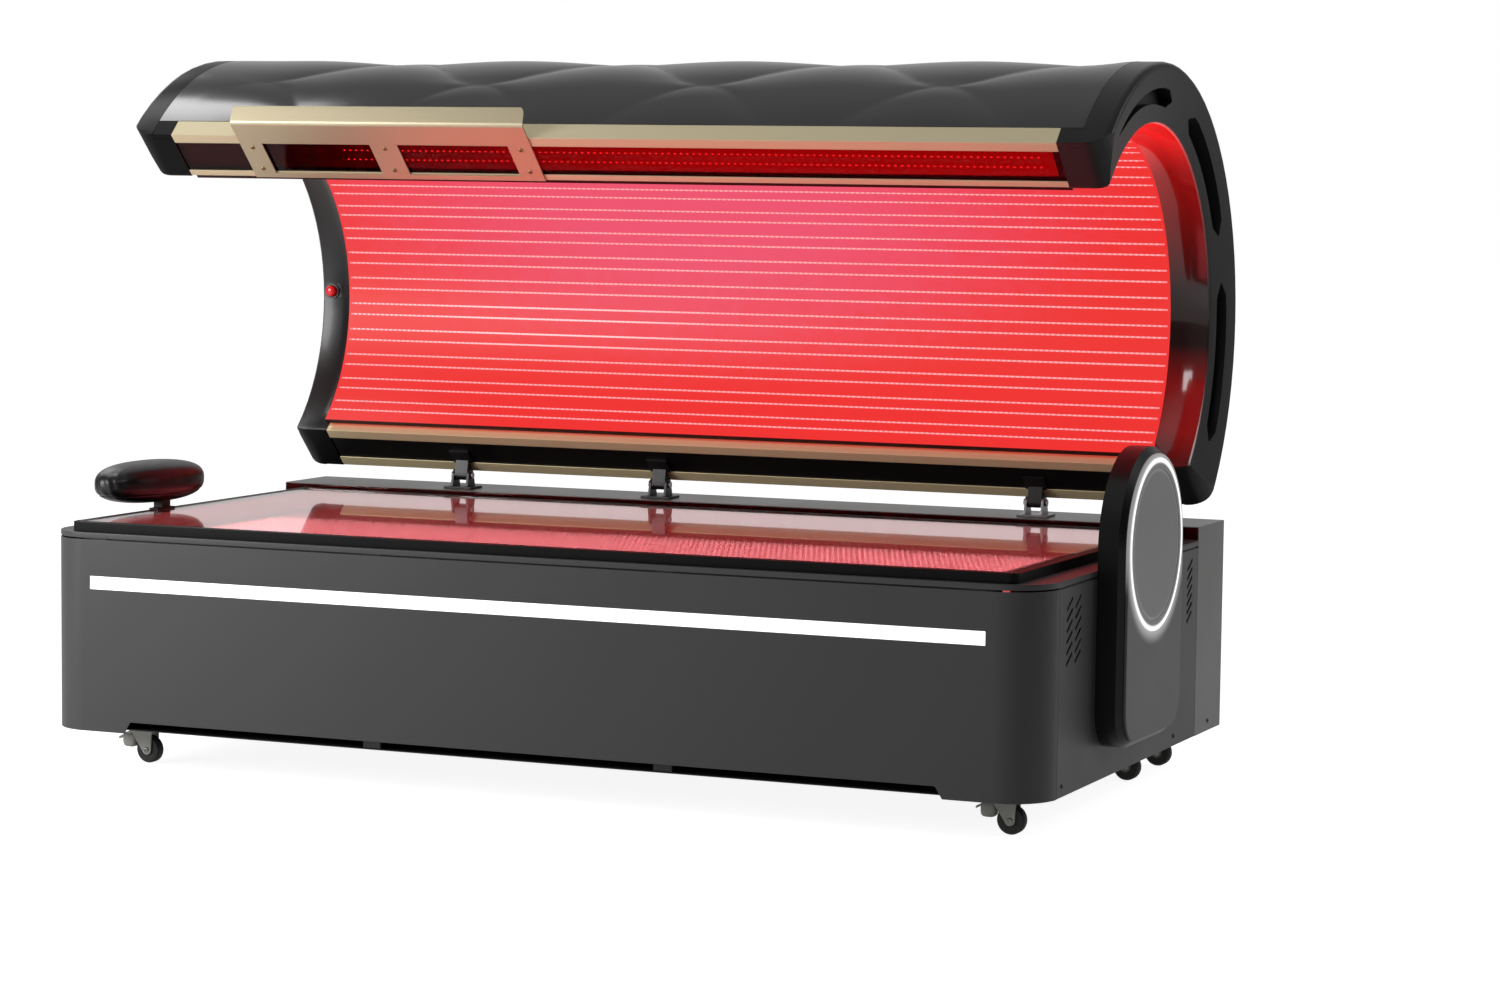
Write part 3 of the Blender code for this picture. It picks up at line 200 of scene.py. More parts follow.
def lacquer(name, colour):
    """Charcoal lacquer over a moulded shell: glossy, over a dark, slightly clouded ground."""
    mat, tree, shader = start(name, colour, 0.18, Specular_IOR_Level=0.50)
    where = add(tree, "TexCoord").outputs["Object"]
    cloud = add(tree, "TexNoise", {"Vector": where, "Scale": per_mm(220.0), "Detail": 3.0})
    rough = add(tree, "MapRange", {"Value": cloud.outputs["Fac"], "To Min": 0.13, "To Max": 0.23})
    peel = add(tree, "TexNoise", {"Vector": where, "Scale": per_mm(5.0), "Detail": 2.0})
    bump = add(tree, "Bump", {"Height": peel.outputs["Fac"], "Strength": 0.03, "Distance": 0.0004})
    tree.links.new(rough.outputs["Result"], shader.inputs["Roughness"])
    tree.links.new(bump.outputs["Normal"], shader.inputs["Normal"])
    return mat


def closed_frame(tree):
    """Object coordinates turned back to where they lie with the canopy closed, from the hinge line."""
    c, s = math.cos(OPEN), math.sin(OPEN)
    x, y, z = HINGE_AT
    where = add(tree, "TexCoord").outputs["Object"]
    back = {"Vector": where, "Rotation": (OPEN, 0, 0), "Location": (-x, s * z - c * y, -s * y - c * z)}
    return add(tree, "Mapping", back).outputs["Vector"]


# Painted red reflection of the lamp board on the inner band of an end cap: share of the half turn from the
# hinge side to the lip, and colour
BAND_PAINTED_REFLECTION = (
    (0.0, "#300606"),
    (0.06, "#780b0b"),
    (0.14, "#780b0b"),
    (0.21, "#1a0606"),
    (0.30, "#1a0606"),
    (0.40, "#660a09"),
    (0.53, "#980e0e"),
    (0.64, "#f51413"),
    (1.0, "#ff1a17"),
)


CAP_SATIN = 0.42
BAND_GLOSS = 0.14
RIM_DROP = 0.14


def three_finish_cap(name, face, band, skin, glow, clear, shine, haze):
    """Moulded end cap: satin charcoal on its face, lacquered round its rim, and glossy inside the arch.

    The glossy band has a clear coat with some haze. The lamp board's red reflection is painted on it as glow,
    mostly near the lip.
    """
    mat, tree, shader = start(name, face, CAP_SATIN, Specular_IOR_Level=shine)
    where = closed_frame(tree)
    flat = add(tree, "VectorMath", {0: where, 1: (0, 1, 1)}, operation="MULTIPLY")
    reach = add(tree, "VectorMath", {0: flat.outputs["Vector"], 1: tuple(AXIS)}, operation="DISTANCE")
    edge = {"Value": reach.outputs["Value"], "From Min": CAP_R + 0.001, "From Max": CAP_R + 0.004}
    outer = add(tree, "MapRange", edge).outputs["Result"]
    edge = {"Value": reach.outputs["Value"], "From Min": SHELL_R - 0.006, "From Max": SHELL_R - 0.003}
    rim = add(tree, "MapRange", edge).outputs["Result"]
    grain = add(tree, "TexNoise", {"Vector": where, "Scale": per_mm(1.6), "Detail": 3.0})
    inside = add(tree, "MixRGB", {0: outer, 1: linear(band), 2: linear(face)})
    tone = add(tree, "MixRGB", {0: rim, 1: inside.outputs["Color"], 2: linear(skin)})
    coat = add(tree, "MapRange", {"Value": outer, "To Min": clear, "To Max": 0.0})
    satin = add(tree, "MapRange", {"Value": outer, "To Min": BAND_GLOSS, "To Max": CAP_SATIN})
    gloss = add(tree, "Math", {0: rim, 1: -RIM_DROP, 2: satin.outputs["Result"]}, operation="MULTIPLY_ADD")
    rise = add(tree, "Math", {0: outer, 1: 0.05}, operation="MULTIPLY")
    bump = {"Height": grain.outputs["Fac"], "Strength": rise.outputs["Value"], "Distance": 0.0003}
    tree.links.new(tone.outputs["Color"], shader.inputs["Base Color"])
    tree.links.new(coat.outputs["Result"], shader.inputs["Coat Weight"])
    tree.links.new(gloss.outputs["Value"], shader.inputs["Roughness"])
    tree.links.new(add(tree, "Bump", bump).outputs["Normal"], shader.inputs["Normal"])
    shader.inputs["Coat Roughness"].default_value = haze
    shader.inputs["Coat IOR"].default_value = 1.5
    from_axis = add(tree, "VectorMath", {0: flat.outputs["Vector"], 1: tuple(AXIS)}, operation="SUBTRACT")
    part = add(tree, "SeparateXYZ", {0: from_axis.outputs["Vector"]})
    turn = add(tree, "Math", {0: part.outputs["Z"], 1: part.outputs["Y"]}, operation="ARCTAN2")
    share = add(tree, "Math", {0: turn.outputs["Value"], 1: math.pi}, operation="DIVIDE")
    ramp = add(tree, "ValToRGB", {0: share.outputs["Value"]})
    stops = ramp.color_ramp.elements
    for at, code in BAND_PAINTED_REFLECTION[1:-1]:
        stops.new(at).color = linear(code)
    stops[0].color, stops[-1].color = linear(BAND_PAINTED_REFLECTION[0][1]), linear(BAND_PAINTED_REFLECTION[-1][1])
    # Painted red reflection: glow on the glossy band, scaled by the band's share of coat
    painted_red_reflection = add(tree, "Math", {0: coat.outputs["Result"], 1: glow}, operation="MULTIPLY")
    tree.links.new(ramp.outputs["Color"], shader.inputs["Emission Color"])
    tree.links.new(painted_red_reflection.outputs["Value"], shader.inputs["Emission Strength"])
    return mat


def leatherette(name, colour):
    """Coated leatherette: cells about 1.6 mm wide with creases between them, and a waxy shine."""
    mat, tree, shader = start(name, colour, 0.34, Specular_IOR_Level=0.30)
    where = add(tree, "TexCoord").outputs["Object"]
    cells = add(tree, "TexVoronoi", {"Vector": where, "Scale": per_mm(1.6)}, feature="DISTANCE_TO_EDGE")
    folds = add(tree, "TexNoise", {"Vector": where, "Scale": per_mm(22.0), "Detail": 4.0})
    height = add(tree, "Math", {0: cells.outputs["Distance"], 1: folds.outputs["Fac"]}, operation="ADD")
    bump = add(tree, "Bump", {"Height": height.outputs["Value"], "Strength": 0.16, "Distance": 0.0006})
    rough = add(tree, "MapRange", {"Value": folds.outputs["Fac"], "To Min": 0.26, "To Max": 0.42})
    tree.links.new(rough.outputs["Result"], shader.inputs["Roughness"])
    tree.links.new(bump.outputs["Normal"], shader.inputs["Normal"])
    return mat


def opal(name, colour, strength):
    """Opal acrylic over white lamps: evenly lit, a little dimmer where the noise of the sheet shows."""
    mat, tree, shader = start(name, colour, 0.40, Emission_Strength=strength)
    where = add(tree, "TexCoord").outputs["Object"]
    cloud = add(tree, "TexNoise", {"Vector": where, "Scale": per_mm(60.0), "Detail": 1.0})
    tone = add(tree, "MixRGB", {0: cloud.outputs["Fac"], 1: linear("#f4f6f8"), 2: linear("#ffffff")})
    tree.links.new(tone.outputs["Color"], shader.inputs["Emission Color"])
    return mat


def lit_panel(name, edge, middle, centre, half, strength, facing=None, turn=(0.25, 1.05), arched=False):
    """A red board behind lamps: one colour round a centre, fading to another at half lengths from it.

    Where facing is given, the other sides stay dark, so that nothing shines into the base. The end faces of
    an arched board, at its lips, stay dark too.
    """
    mat, tree, shader = start(name, "#2a0406", 0.45, Specular_IOR_Level=0.2)
    coord = add(tree, "TexCoord")
    where = coord.outputs["Object"]
    shift = [-c / h for c, h in zip(centre, half)]
    spread = {"Vector": where, "Location": shift, "Scale": [1 / h for h in half]}
    away = add(tree, "VectorMath", {0: add(tree, "Mapping", spread).outputs["Vector"]}, operation="LENGTH")
    grain = add(tree, "TexNoise", {"Vector": where, "Scale": per_mm(26.0), "Detail": 3.0})
    mottle = add(tree, "Math", {0: grain.outputs["Fac"], 1: 0.24, 2: -0.12}, operation="MULTIPLY_ADD")
    reach = add(tree, "Math", {0: away.outputs["Value"], 1: mottle.outputs["Value"]}, operation="ADD")
    span = {"Value": reach.outputs["Value"], "From Min": turn[0], "From Max": turn[1]}
    fade = add(tree, "MapRange", span, interpolation_type="SMOOTHSTEP")
    tone = add(tree, "MixRGB", {0: fade.outputs["Result"], 1: linear(middle), 2: linear(edge)})
    tree.links.new(tone.outputs["Color"], shader.inputs["Emission Color"])
    shader.inputs["Emission Strength"].default_value = strength
    if arched:
        height = add(tree, "SeparateXYZ", {0: closed_frame(tree)}).outputs["Z"]
        inside = add(tree, "Math", {0: height, 1: AXIS[2] + END_DARK}, operation="GREATER_THAN")
        level = add(tree, "Math", {0: inside.outputs["Value"], 1: strength}, operation="MULTIPLY")
        tree.links.new(level.outputs["Value"], shader.inputs["Emission Strength"])
    if facing:
        side = add(tree, "VectorMath", {0: coord.outputs["Normal"], 1: facing}, operation="DOT_PRODUCT")
        lit = add(tree, "Math", {0: side.outputs["Value"], 1: 0.5}, operation="GREATER_THAN")
        level = add(tree, "Math", {0: lit.outputs["Value"], 1: strength}, operation="MULTIPLY")
        tree.links.new(level.outputs["Value"], shader.inputs["Emission Strength"])
    return mat


def lamp(name, colour, strength):
    """A lit lamp face under its clear lens; batches of lamps differ a little in tone."""
    mat, tree, shader = start(name, "#401012", 0.25, Emission_Strength=strength)
    where = add(tree, "TexCoord").outputs["Object"]
    batch = add(tree, "TexNoise", {"Vector": where, "Scale": per_mm(40.0), "Detail": 1.0})
    tone = add(tree, "MixRGB", {0: batch.outputs["Fac"], 1: linear(colour), 2: linear("#ffd0cc")})
    shift = add(tree, "MixRGB", {0: 0.25, 1: linear(colour), 2: tone.outputs["Color"]})
    tree.links.new(shift.outputs["Color"], shader.inputs["Emission Color"])
    return mat


def acrylic(name, colour, rough, index):
    """Polished cast acrylic with faint wipe marks in its gloss."""
    mat, tree, shader = start(name, colour, rough, IOR=index, Transmission_Weight=1.0)
    where = add(tree, "TexCoord").outputs["Object"]
    wiped = add(tree, "Mapping", {"Vector": where, "Scale": (per_mm(400.0), per_mm(60.0), per_mm(60.0))})
    marks = add(tree, "TexNoise", {"Vector": wiped.outputs["Vector"], "Scale": 1.0, "Detail": 4.0})
    spread = {"Value": marks.outputs["Fac"], "To Min": rough * 0.6, "To Max": rough * 1.5}
    gloss = add(tree, "MapRange", spread)
    tree.links.new(gloss.outputs["Result"], shader.inputs["Roughness"])
    return mat


def rubber(name, colour):
    """Polyurethane tyre: matt, with a little dust in its skin."""
    mat, tree, shader = start(name, colour, 0.62)
    where = add(tree, "TexCoord").outputs["Object"]
    dust = add(tree, "TexNoise", {"Vector": where, "Scale": per_mm(7.0), "Detail": 5.0})
    tone = add(tree, "MixRGB", {0: dust.outputs["Fac"], 1: linear(colour), 2: linear("#2a2927")})
    bump = add(tree, "Bump", {"Height": dust.outputs["Fac"], "Strength": 0.12, "Distance": 0.0004})
    tree.links.new(tone.outputs["Color"], shader.inputs["Base Color"])
    tree.links.new(bump.outputs["Normal"], shader.inputs["Normal"])
    return mat


def ring_light_and_painted_halo(mat, centre, radius, wide, strength, inside=0.0):
    """Lets a surface round the pod's light ring glow: white light that fades over a width on both sides.

    On the lamp ring this is its own light. On the pod face round it, the glow is a painted halo of the ring's
    light, and the disc that the ring goes round gets a painted light a little all over, by inside.
    """
    tree = mat.node_tree
    where = add(tree, "TexCoord").outputs["Object"]
    flat = add(tree, "VectorMath", {0: where, 1: (0, 1, 1)}, operation="MULTIPLY")
    reach = add(tree, "VectorMath", {0: flat.outputs["Vector"], 1: centre}, operation="DISTANCE")
    off = add(tree, "Math", {0: reach.outputs["Value"], 1: radius}, operation="SUBTRACT")
    gap = add(tree, "Math", {0: off.outputs["Value"]}, operation="ABSOLUTE")
    fade = {"Value": gap.outputs["Value"], "From Max": wide, "To Min": strength, "To Max": 0.0}
    level = add(tree, "MapRange", fade, interpolation_type="SMOOTHSTEP")
    within = add(tree, "MapRange", {"Value": off.outputs["Value"], "From Max": -wide / 2, "To Max": inside})
    most = add(tree, "Math", {0: level.outputs["Result"], 1: within.outputs["Result"]}, operation="MAXIMUM")
    shader = tree.nodes["Principled BSDF"]
    shader.inputs["Emission Color"].default_value = (1, 1, 1, 1)
    tree.links.new(most.outputs["Value"], shader.inputs["Emission Strength"])


RING_MID = tuple(np.mean(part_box("pod_ring"), axis=0) * (0, 1, 1))
RING_R = 0.1752
RING_FADE = 0.0095
PAINTED_HALO_FADE = 0.036
GREY = powder_coat("powder_coated_steel", "#3e3e3f")
LEDGE = powder_coat("powder_coated_ledge", "#545453", 0.32, 0.38)
# The pod face: grey paint, with a painted halo of the ring's light round the ring and a painted light over
# the disc inside it
POD_FACE_PAINTED_HALO = powder_coat("powder_coated_pod_face_painted_halo", "#565657")
ring_light_and_painted_halo(POD_FACE_PAINTED_HALO, RING_MID, RING_R, PAINTED_HALO_FADE, 0.34, inside=0.055)
RING = opal("opal_ring_diffuser", "#8d8d8d", 1.0)
ring_light_and_painted_halo(RING, RING_MID, RING_R, RING_FADE, 1.30)
INNER = powder_coat("black_frame_paint", "#1b1b1c")
BLACK = moulded("black_abs", "#070708", 0.26, 0.38, shine=0.28)
FRAME = moulded("black_bed_frame_paint", "#030303", 0.40, 0.50, shine=0.12)
IRON = moulded("black_hinge_enamel", "#121213", 0.34, 0.46)
# Both end caps are one moulding drawn as two copies: the left one darker as painted shade, the right one
# lighter as painted light, with a strong painted red reflection on its band
CAP_LEFT_PAINTED_SHADE = three_finish_cap(
    "charcoal_cap_painted_shaded", "#0c0c0d", "#060607", "#050506", glow=0.04, clear=0.70, shine=0.05, haze=0.34
)
CAP_RIGHT_PAINTED_LIT = three_finish_cap(
    "charcoal_cap_painted_lit", "#1a1a1b", "#0a0a0b", "#141415", glow=1.15, clear=0.8, shine=0.20, haze=0.08
)
SHELL = lacquer("charcoal_lacquer", "#0f0f10")
GOLD = brushed("champagne_anodised_aluminium", "#cbbf9f", 0.56, 0, 0.68)
# A lighter, yellower, less metallic copy of the champagne aluminium on the rear trims: painted light,
# standing for white light reaching them
REAR_GOLD_PAINTED_LIGHTER = brushed("champagne_aluminium_rear_painted_lighter", "#d2c69e", 0.50, 0, 0.45)
# A darker copy of the champagne aluminium on the handle: painted shade, so that its upturned flange reads
# less bright
HANDLE_GOLD_PAINTED_DARKER = brushed("champagne_aluminium_handle_painted_darker", "#b0a488", 0.36, 0, 0.60)
TRAY_FLOOR = powder_coat("red_tray_paint", "#4a0b0e")
# Tray walls: a painted red glow that stands for the lamp board's light on them
TRAY_WALL_PAINTED_GLOW = lamp("tray_wall_painted_glow", "#a80c10", 1.1)
HANDLE_SCREW = brushed("champagne_plated_screws", "#86744f", 0.34, 2, 0.85)
SCREW = brushed("zinc_plated_screws", "#8a8984", 0.34, 2, 0.9)
DARK_SCREW = brushed("blackened_screws", "#2a2a2b", 0.36, 2, 0.6)
LIP_LAMP = lamp("lip_lamp_face", "#ff8a90", 3.2)
STEEL = brushed("brushed_stainless_steel", "#8f8f91", 0.32, 0, 0.9)
LEATHER = leatherette("black_leatherette", "#0b0a0b")
WHITE = opal("opal_acrylic_lit", "#f2f2f2", 1.0)
PANEL = lit_panel(
    "red_lamp_board", "#ec322f", "#ea5570", (-0.10, 0.35, 1.22), (1.15, 0.60, 0.42), strength=1.0, arched=True
)
BED_BOARD = lit_panel(
    "bed_lamp_board",
    "#9a060b",
    "#f03a48",
    (0.0, -0.90, 0.49),
    (90.0, 1.00, 9.0),
    strength=1.8,
    facing=(0, 0, 1),
    turn=(0.86, 0.98),
)
BAR_BOARD = lit_panel(
    "lip_lamp_board", "#120102", "#e01a20", (0.75, -0.3, 1.33), (1.55, 0.60, 0.42), strength=0.9
)
TRACK = lamp("lamp_track", "#f4808a", 1.0)
LAMP = lamp("lamp_face", "#ffb4b4", 1.0)
BED_LAMP = lamp("bed_lamp_face", "#ffa0a8", 3.6)
DIM_LAMP = lamp("dimmed_lamp_face", "#b01a20", 1.2)
CLEAR = acrylic("clear_acrylic", "#fff0f0", 0.02, 1.30)
SMOKE = acrylic("smoked_red_acrylic", "#a82428", 0.05, 1.18)
TYRE = rubber("polyurethane_tyre", "#101010")
NYLON = moulded("grey_nylon", "#b9b8b1", 0.40, 0.52)
KNOB = moulded("red_polycarbonate", "#d8232b", 0.14, 0.20)

# Meshes

SAME_POINT = 1e-5
CREASE = 30
SHELL_CREASE = 40


def surface(name, points, faces, mat, body, stands_for=(), sharp=None):
    """Makes a piece from an array of points and an index array of faces, and lets it ride on a body."""
    mesh = bpy.data.meshes.new(name)
    mesh.from_pydata(points.reshape(-1, 3).tolist(), [], [list(face) for face in faces])
    mesh.update()
    mesh.shade_smooth()
    if sharp is not None:
        mesh.set_sharp_from_angle(angle=math.radians(sharp))
    mesh.materials.append(mat)
    obj = bpy.data.objects.new(name, mesh)
    bpy.context.scene.collection.objects.link(obj)
    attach(obj, body)
    if stands_for:
        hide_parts(*stands_for)
    return obj


def merge(obj):
    """Closes poles and seams: doubles become one point, and the faces are turned outwards."""
    bm = bmesh.new()
    bm.from_mesh(obj.data)
    bmesh.ops.remove_doubles(bm, verts=bm.verts, dist=SAME_POINT)
    bmesh.ops.recalc_face_normals(bm, faces=bm.faces)
    bm.to_mesh(obj.data)
    bm.free()


def ringed(rows, columns):
    """Quads over a rows x columns array of points whose last column joins the first."""
    index = np.arange(rows * columns).reshape(rows, columns)
    index = np.hstack([index, index[:, :1]])
    quads = np.stack([index[:-1, :-1], index[:-1, 1:], index[1:, 1:], index[1:, :-1]], -1)
    return quads.reshape(-1, 4)


def opened(points):
    """Points drawn with the canopy closed, from the hinge line, turned to their place on the open canopy."""
    c, s = math.cos(OPEN), math.sin(OPEN)
    x, y, z = np.moveaxis(np.asarray(points, float), -1, 0)
    return np.stack([x, y * c + z * s, z * c - y * s], -1) + HINGE_AT


def round_axis(x, radius, turn):
    """Points at a radius and a turn in degrees about the canopy's axis, drawn closed."""
    a = np.radians(turn)
    x, y, z = np.broadcast_arrays(x, AXIS[1] + radius * np.cos(a), AXIS[2] + radius * np.sin(a))
    return np.stack([x, y, z], -1)


def relief(x, turn):
    """Depth under SHELL_R: pillows 1 - s^2 between neighbouring creases, with s from -1 to 1 across a pillow.

    Crease n lies at WAVE_TURN + n * WAVE_ROW degrees and swings by half a row along x, odd ones the other
    way. The depth fades out at the lips and at both ends.
    """
    swing = WAVE_ROW / 2 * np.cos(2 * np.pi * (x - WAVE_AT) / WAVE_LONG)
    row = np.floor((turn - WAVE_TURN) / WAVE_ROW)
    low = np.full(np.broadcast(x, turn).shape, -1e9)
    high = -low
    for step in (-1, 0, 1, 2):
        n = row + step
        crease = WAVE_TURN + n * WAVE_ROW + np.where(n % 2 == 0, swing, -swing)
        low = np.where(crease <= turn, np.maximum(low, crease), low)
        high = np.where(crease > turn, np.minimum(high, crease), high)
    across = (2 * turn - low - high) / np.maximum(high - low, 1e-6)
    pillow = (1 - across**2) * ((high - low) / (2 * WAVE_ROW)) ** PILLOW_POWER
    lips = np.minimum(1.0, np.sin(np.radians(turn)) / FADE_LIPS)
    ends = np.minimum((SHELL_HALF + x) / FADE_LEFT, (SHELL_HALF - x) / FADE_RIGHT).clip(0.0, 1.0)
    ends = ends * ends * (3 - 2 * ends)
    return RELIEF * (1 - pillow) * np.maximum(0.0, lips * ends)


SKIN_LONG, SKIN_OUT, SKIN_IN = 301, 221, 31


def shell_skin():
    """The shell: radius SHELL_R - relief(x, turn) outside and SHELL_IN inside, as rings of points along X."""
    front = 180 - math.degrees(math.asin(SHELL_EDGE / SHELL_R))
    x = np.linspace(-SHELL_HALF, SHELL_HALF, SKIN_LONG)[:, None]
    out = np.linspace(front, 0.0, SKIN_OUT)[None, :]
    back = np.linspace(0.0, front, SKIN_IN)[None, :]
    outer = round_axis(x, SHELL_R - relief(x, out), out)
    inner = round_axis(x, SHELL_IN, back)
    ring = opened(np.concatenate([outer, inner], 1))
    rows, columns = ring.shape[:2]
    first = np.arange(columns)
    faces = [*ringed(rows, columns), first, (rows - 1) * columns + first[::-1]]
    surface("shell_skin", ring, faces, SHELL, "canopy", ["canopy_shell"], sharp=SHELL_CREASE)


shell_skin()


def blocks(centres, along, across, out, size, taper=0.75):
    """Blocks that taper: on each centre a foot of size[0] x size[1], and a smaller top size[2] above it."""
    corner = np.array([[-1, -1], [1, -1], [1, 1], [-1, 1]]) / 2
    foot = corner[:, :1] * size[0] * along[..., None, :] + corner[:, 1:] * size[1] * across[..., None, :]
    low = centres[..., None, :] + foot
    high = centres[..., None, :] + taper * foot + size[2] * out[..., None, :]
    points = np.concatenate([low, high], -2).reshape(-1, 8, 3)
    side = np.array([[0, 1, 5, 4], [1, 2, 6, 5], [2, 3, 7, 6], [3, 0, 4, 7], [4, 5, 6, 7], [3, 2, 1, 0]])
    faces = (np.arange(len(points))[:, None, None] * 8 + side).reshape(-1, 4)
    return points, faces


UPRIGHT = 0.999


def frame_axes(seats):
    """X, Y and Z at each seat, for blocks that lie along the frame's axes."""
    return np.broadcast_to(np.eye(3)[:, None, None, :], (3, *seats.shape))


def block(centre, along, across, out, size, taper=UPRIGHT):
    """One block, from plain triples."""
    return blocks(*(np.array([v], float) for v in (centre, along, across, out)), size, taper)


# Lamp rows on the curved board: pairs at these turns in degrees, with a row to each side
PAIRS = 6.6 + 8.71 * np.arange(20)
PAIR_HALF = 1.82
ROWS = np.sort(np.concatenate([PAIRS - PAIR_HALF, PAIRS + PAIR_HALF]))
ROW_HALF = BAND_HALF - 0.006
LAMP_PITCH = 0.0125
LAMP_SIZE = (0.0052, 0.0034, 0.0012)
TRACK_WIDE = 0.0040
BED_TRACK_WIDE = 0.0038
TRACK_TALL = 0.0005
SUNK = 0.0001


def canopy_lamps():
    """Pairs of lamp rows along X on the curved board: a flat track for each row, and lamps on it."""
    turn = ROWS[:, None]
    a = np.radians(turn)
    zero = np.zeros_like(a)
    into = np.stack([zero, -np.cos(a), -np.sin(a)], -1)
    tangent = np.stack([zero, -np.sin(a), np.cos(a)], -1)
    ahead = np.zeros_like(into) + np.array([1.0, 0, 0])
    middle = round_axis(np.zeros_like(turn), PANEL_R - SUNK, turn)
    points, faces = blocks(middle, ahead, tangent, into, (2 * ROW_HALF, TRACK_WIDE, TRACK_TALL), UPRIGHT)
    surface("canopy_lamp_tracks", opened(points), faces, TRACK, "canopy", sharp=CREASE)
    x = np.arange(-ROW_HALF + LAMP_PITCH, ROW_HALF - LAMP_PITCH / 2, LAMP_PITCH)[None, :]
    seat = round_axis(x, PANEL_R - SUNK - TRACK_TALL, turn)
    ahead, tangent, into = (np.broadcast_to(axis, seat.shape) for axis in (ahead, tangent, into))
    points, faces = blocks(seat, ahead, tangent, into, LAMP_SIZE)
    surface("canopy_lamps", opened(points), faces, LAMP, "canopy", sharp=CREASE)


canopy_lamps()


LIT_TO = 0.06
BED_PAIRS = 15
BED_PAIR_HALF = 0.013
BED_PAIR_EDGE = 0.045
BED_ROW_END = 0.012


def bed_lamps():
    """The same pairs of rows, flat, on the board under the bed panel; the rows behind LIT_TO are dimmed."""
    low, high = np.array(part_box("bed_light_panel"))
    pairs = np.linspace(low[1] + BED_PAIR_EDGE, high[1] - BED_PAIR_EDGE, BED_PAIRS)
    rows = np.sort(np.concatenate([pairs - BED_PAIR_HALF, pairs + BED_PAIR_HALF]))
    long = (high[0] - low[0]) / 2 - BED_ROW_END
    mid = (high[0] + low[0]) / 2
    zones = ("", rows[rows < LIT_TO], BED_LAMP), ("_dim", rows[rows >= LIT_TO], DIM_LAMP)
    for zone, y, mat in zones:
        y = y[:, None]
        one = np.ones_like(y)
        centre = np.stack([mid * one, y, (high[2] - SUNK) * one], -1)
        points, faces = blocks(centre, *frame_axes(centre), (2 * long, BED_TRACK_WIDE, TRACK_TALL), UPRIGHT)
        surface("bed_lamp_tracks" + zone, points, faces, mat, "base", sharp=CREASE)
        x = mid + np.arange(-long + LAMP_PITCH, long - LAMP_PITCH / 2, LAMP_PITCH)[None, :]
        x, y = np.broadcast_arrays(x, y)
        seat = np.stack([x, y, np.full_like(x, high[2] - SUNK + TRACK_TALL)], -1)
        points, faces = blocks(seat, *frame_axes(seat), LAMP_SIZE)
        surface("bed_lamps" + zone, points, faces, mat, "base", sharp=CREASE)


bed_lamps()


def turns(around_count, rise_count):
    """Angles round a rounded block, in a row, and from its foot to its top, in a column."""
    around = np.linspace(0, 2 * np.pi, around_count + 1)[:-1][None, :]
    rise = np.linspace(-np.pi / 2, np.pi / 2, rise_count)[:, None]
    return around, rise


def rounded(centre, half, plan, side, around, rise, draw=1.0):
    """A superellipsoid: power plan from above and power side from level, scaled by half, drawn in by draw."""

    def curl(v, power):
        return np.sign(v) * np.abs(v) ** (2 / power)

    reach = draw * curl(np.cos(rise), side)
    x = reach * curl(np.cos(around), plan)
    y = reach * curl(np.sin(around), plan)
    z = np.broadcast_to(curl(np.sin(rise), side), x.shape)
    return centre + half * np.stack([x, y, z], -1), ringed(rise.size, around.size)


PAD_PLAN = 2.2
PAD_SIDE = 2.7
PAD_FULL = np.array([0.965, 0.965, 1.10])
PAD_COUNTS = (192, 129)
SEAM_DEEP, SEAM_AT, SEAM_WIDE = 0.022, -0.42, 0.035
FOLD_DEEP, FOLD_COUNT, FOLD_WIDE, FOLD_ENDS = 0.012, 26, 0.75, 6
FOLD_SWAY, FOLD_SWAYS = 2.5, 3


def headrest():
    """The cushion: a rounded block under a tight cover.

    The seam runs low round it as a shallow groove, and the cover folds a little where both ends pull it in.
    """
    low, high = np.array(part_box("headrest_cushion"))
    half, mid = (high - low) / 2 * PAD_FULL, (high + low) / 2
    around, rise = turns(*PAD_COUNTS)
    seam = 1 - SEAM_DEEP * np.exp(-(((rise - SEAM_AT) / SEAM_WIDE) ** 2))
    ends = np.abs(np.sin(around)) ** FOLD_ENDS
    ripple = np.sin(FOLD_COUNT * around + FOLD_SWAY * np.sin(FOLD_SWAYS * rise))
    folds = 1 - FOLD_DEEP * ends * np.exp(-((rise / FOLD_WIDE) ** 2)) * (1 + ripple) / 2
    points, faces = rounded(mid, half, PAD_PLAN, PAD_SIDE, around, rise, seam * folds)
    cushion = surface("headrest_pad", points, faces, LEATHER, "base", ["headrest_cushion"])
    merge(cushion)


headrest()


SMOOTH = 35


def dress(mat, names, smooth=None, bevel=None):
    """Gives CAD nodes their material.

    With an angle in degrees, faces that meet under it are shaded as one. Other edges are rounded by bevel.
    """
    for name in names:
        obj = NODES[name]
        obj.data.materials.clear()
        obj.data.materials.append(mat)
        if smooth is None:
            continue
        normals = obj.data.attributes.get("custom_normal")
        if normals:
            obj.data.attributes.remove(normals)
        obj.data.shade_smooth()
        weld = obj.modifiers.new("weld", "WELD")
        weld.merge_threshold = SAME_POINT
        if bevel:
            edge = obj.modifiers.new("edge", "BEVEL")
            edge.width = bevel
            edge.segments = 2
            edge.limit_method = "ANGLE"
            edge.angle_limit = math.radians(smooth)
        split = obj.modifiers.new("split", "EDGE_SPLIT")
        split.split_angle = math.radians(smooth)
        split.use_edge_sharp = False
        weight = obj.modifiers.new("weight", "WEIGHTED_NORMAL")
        weight.keep_sharp = True


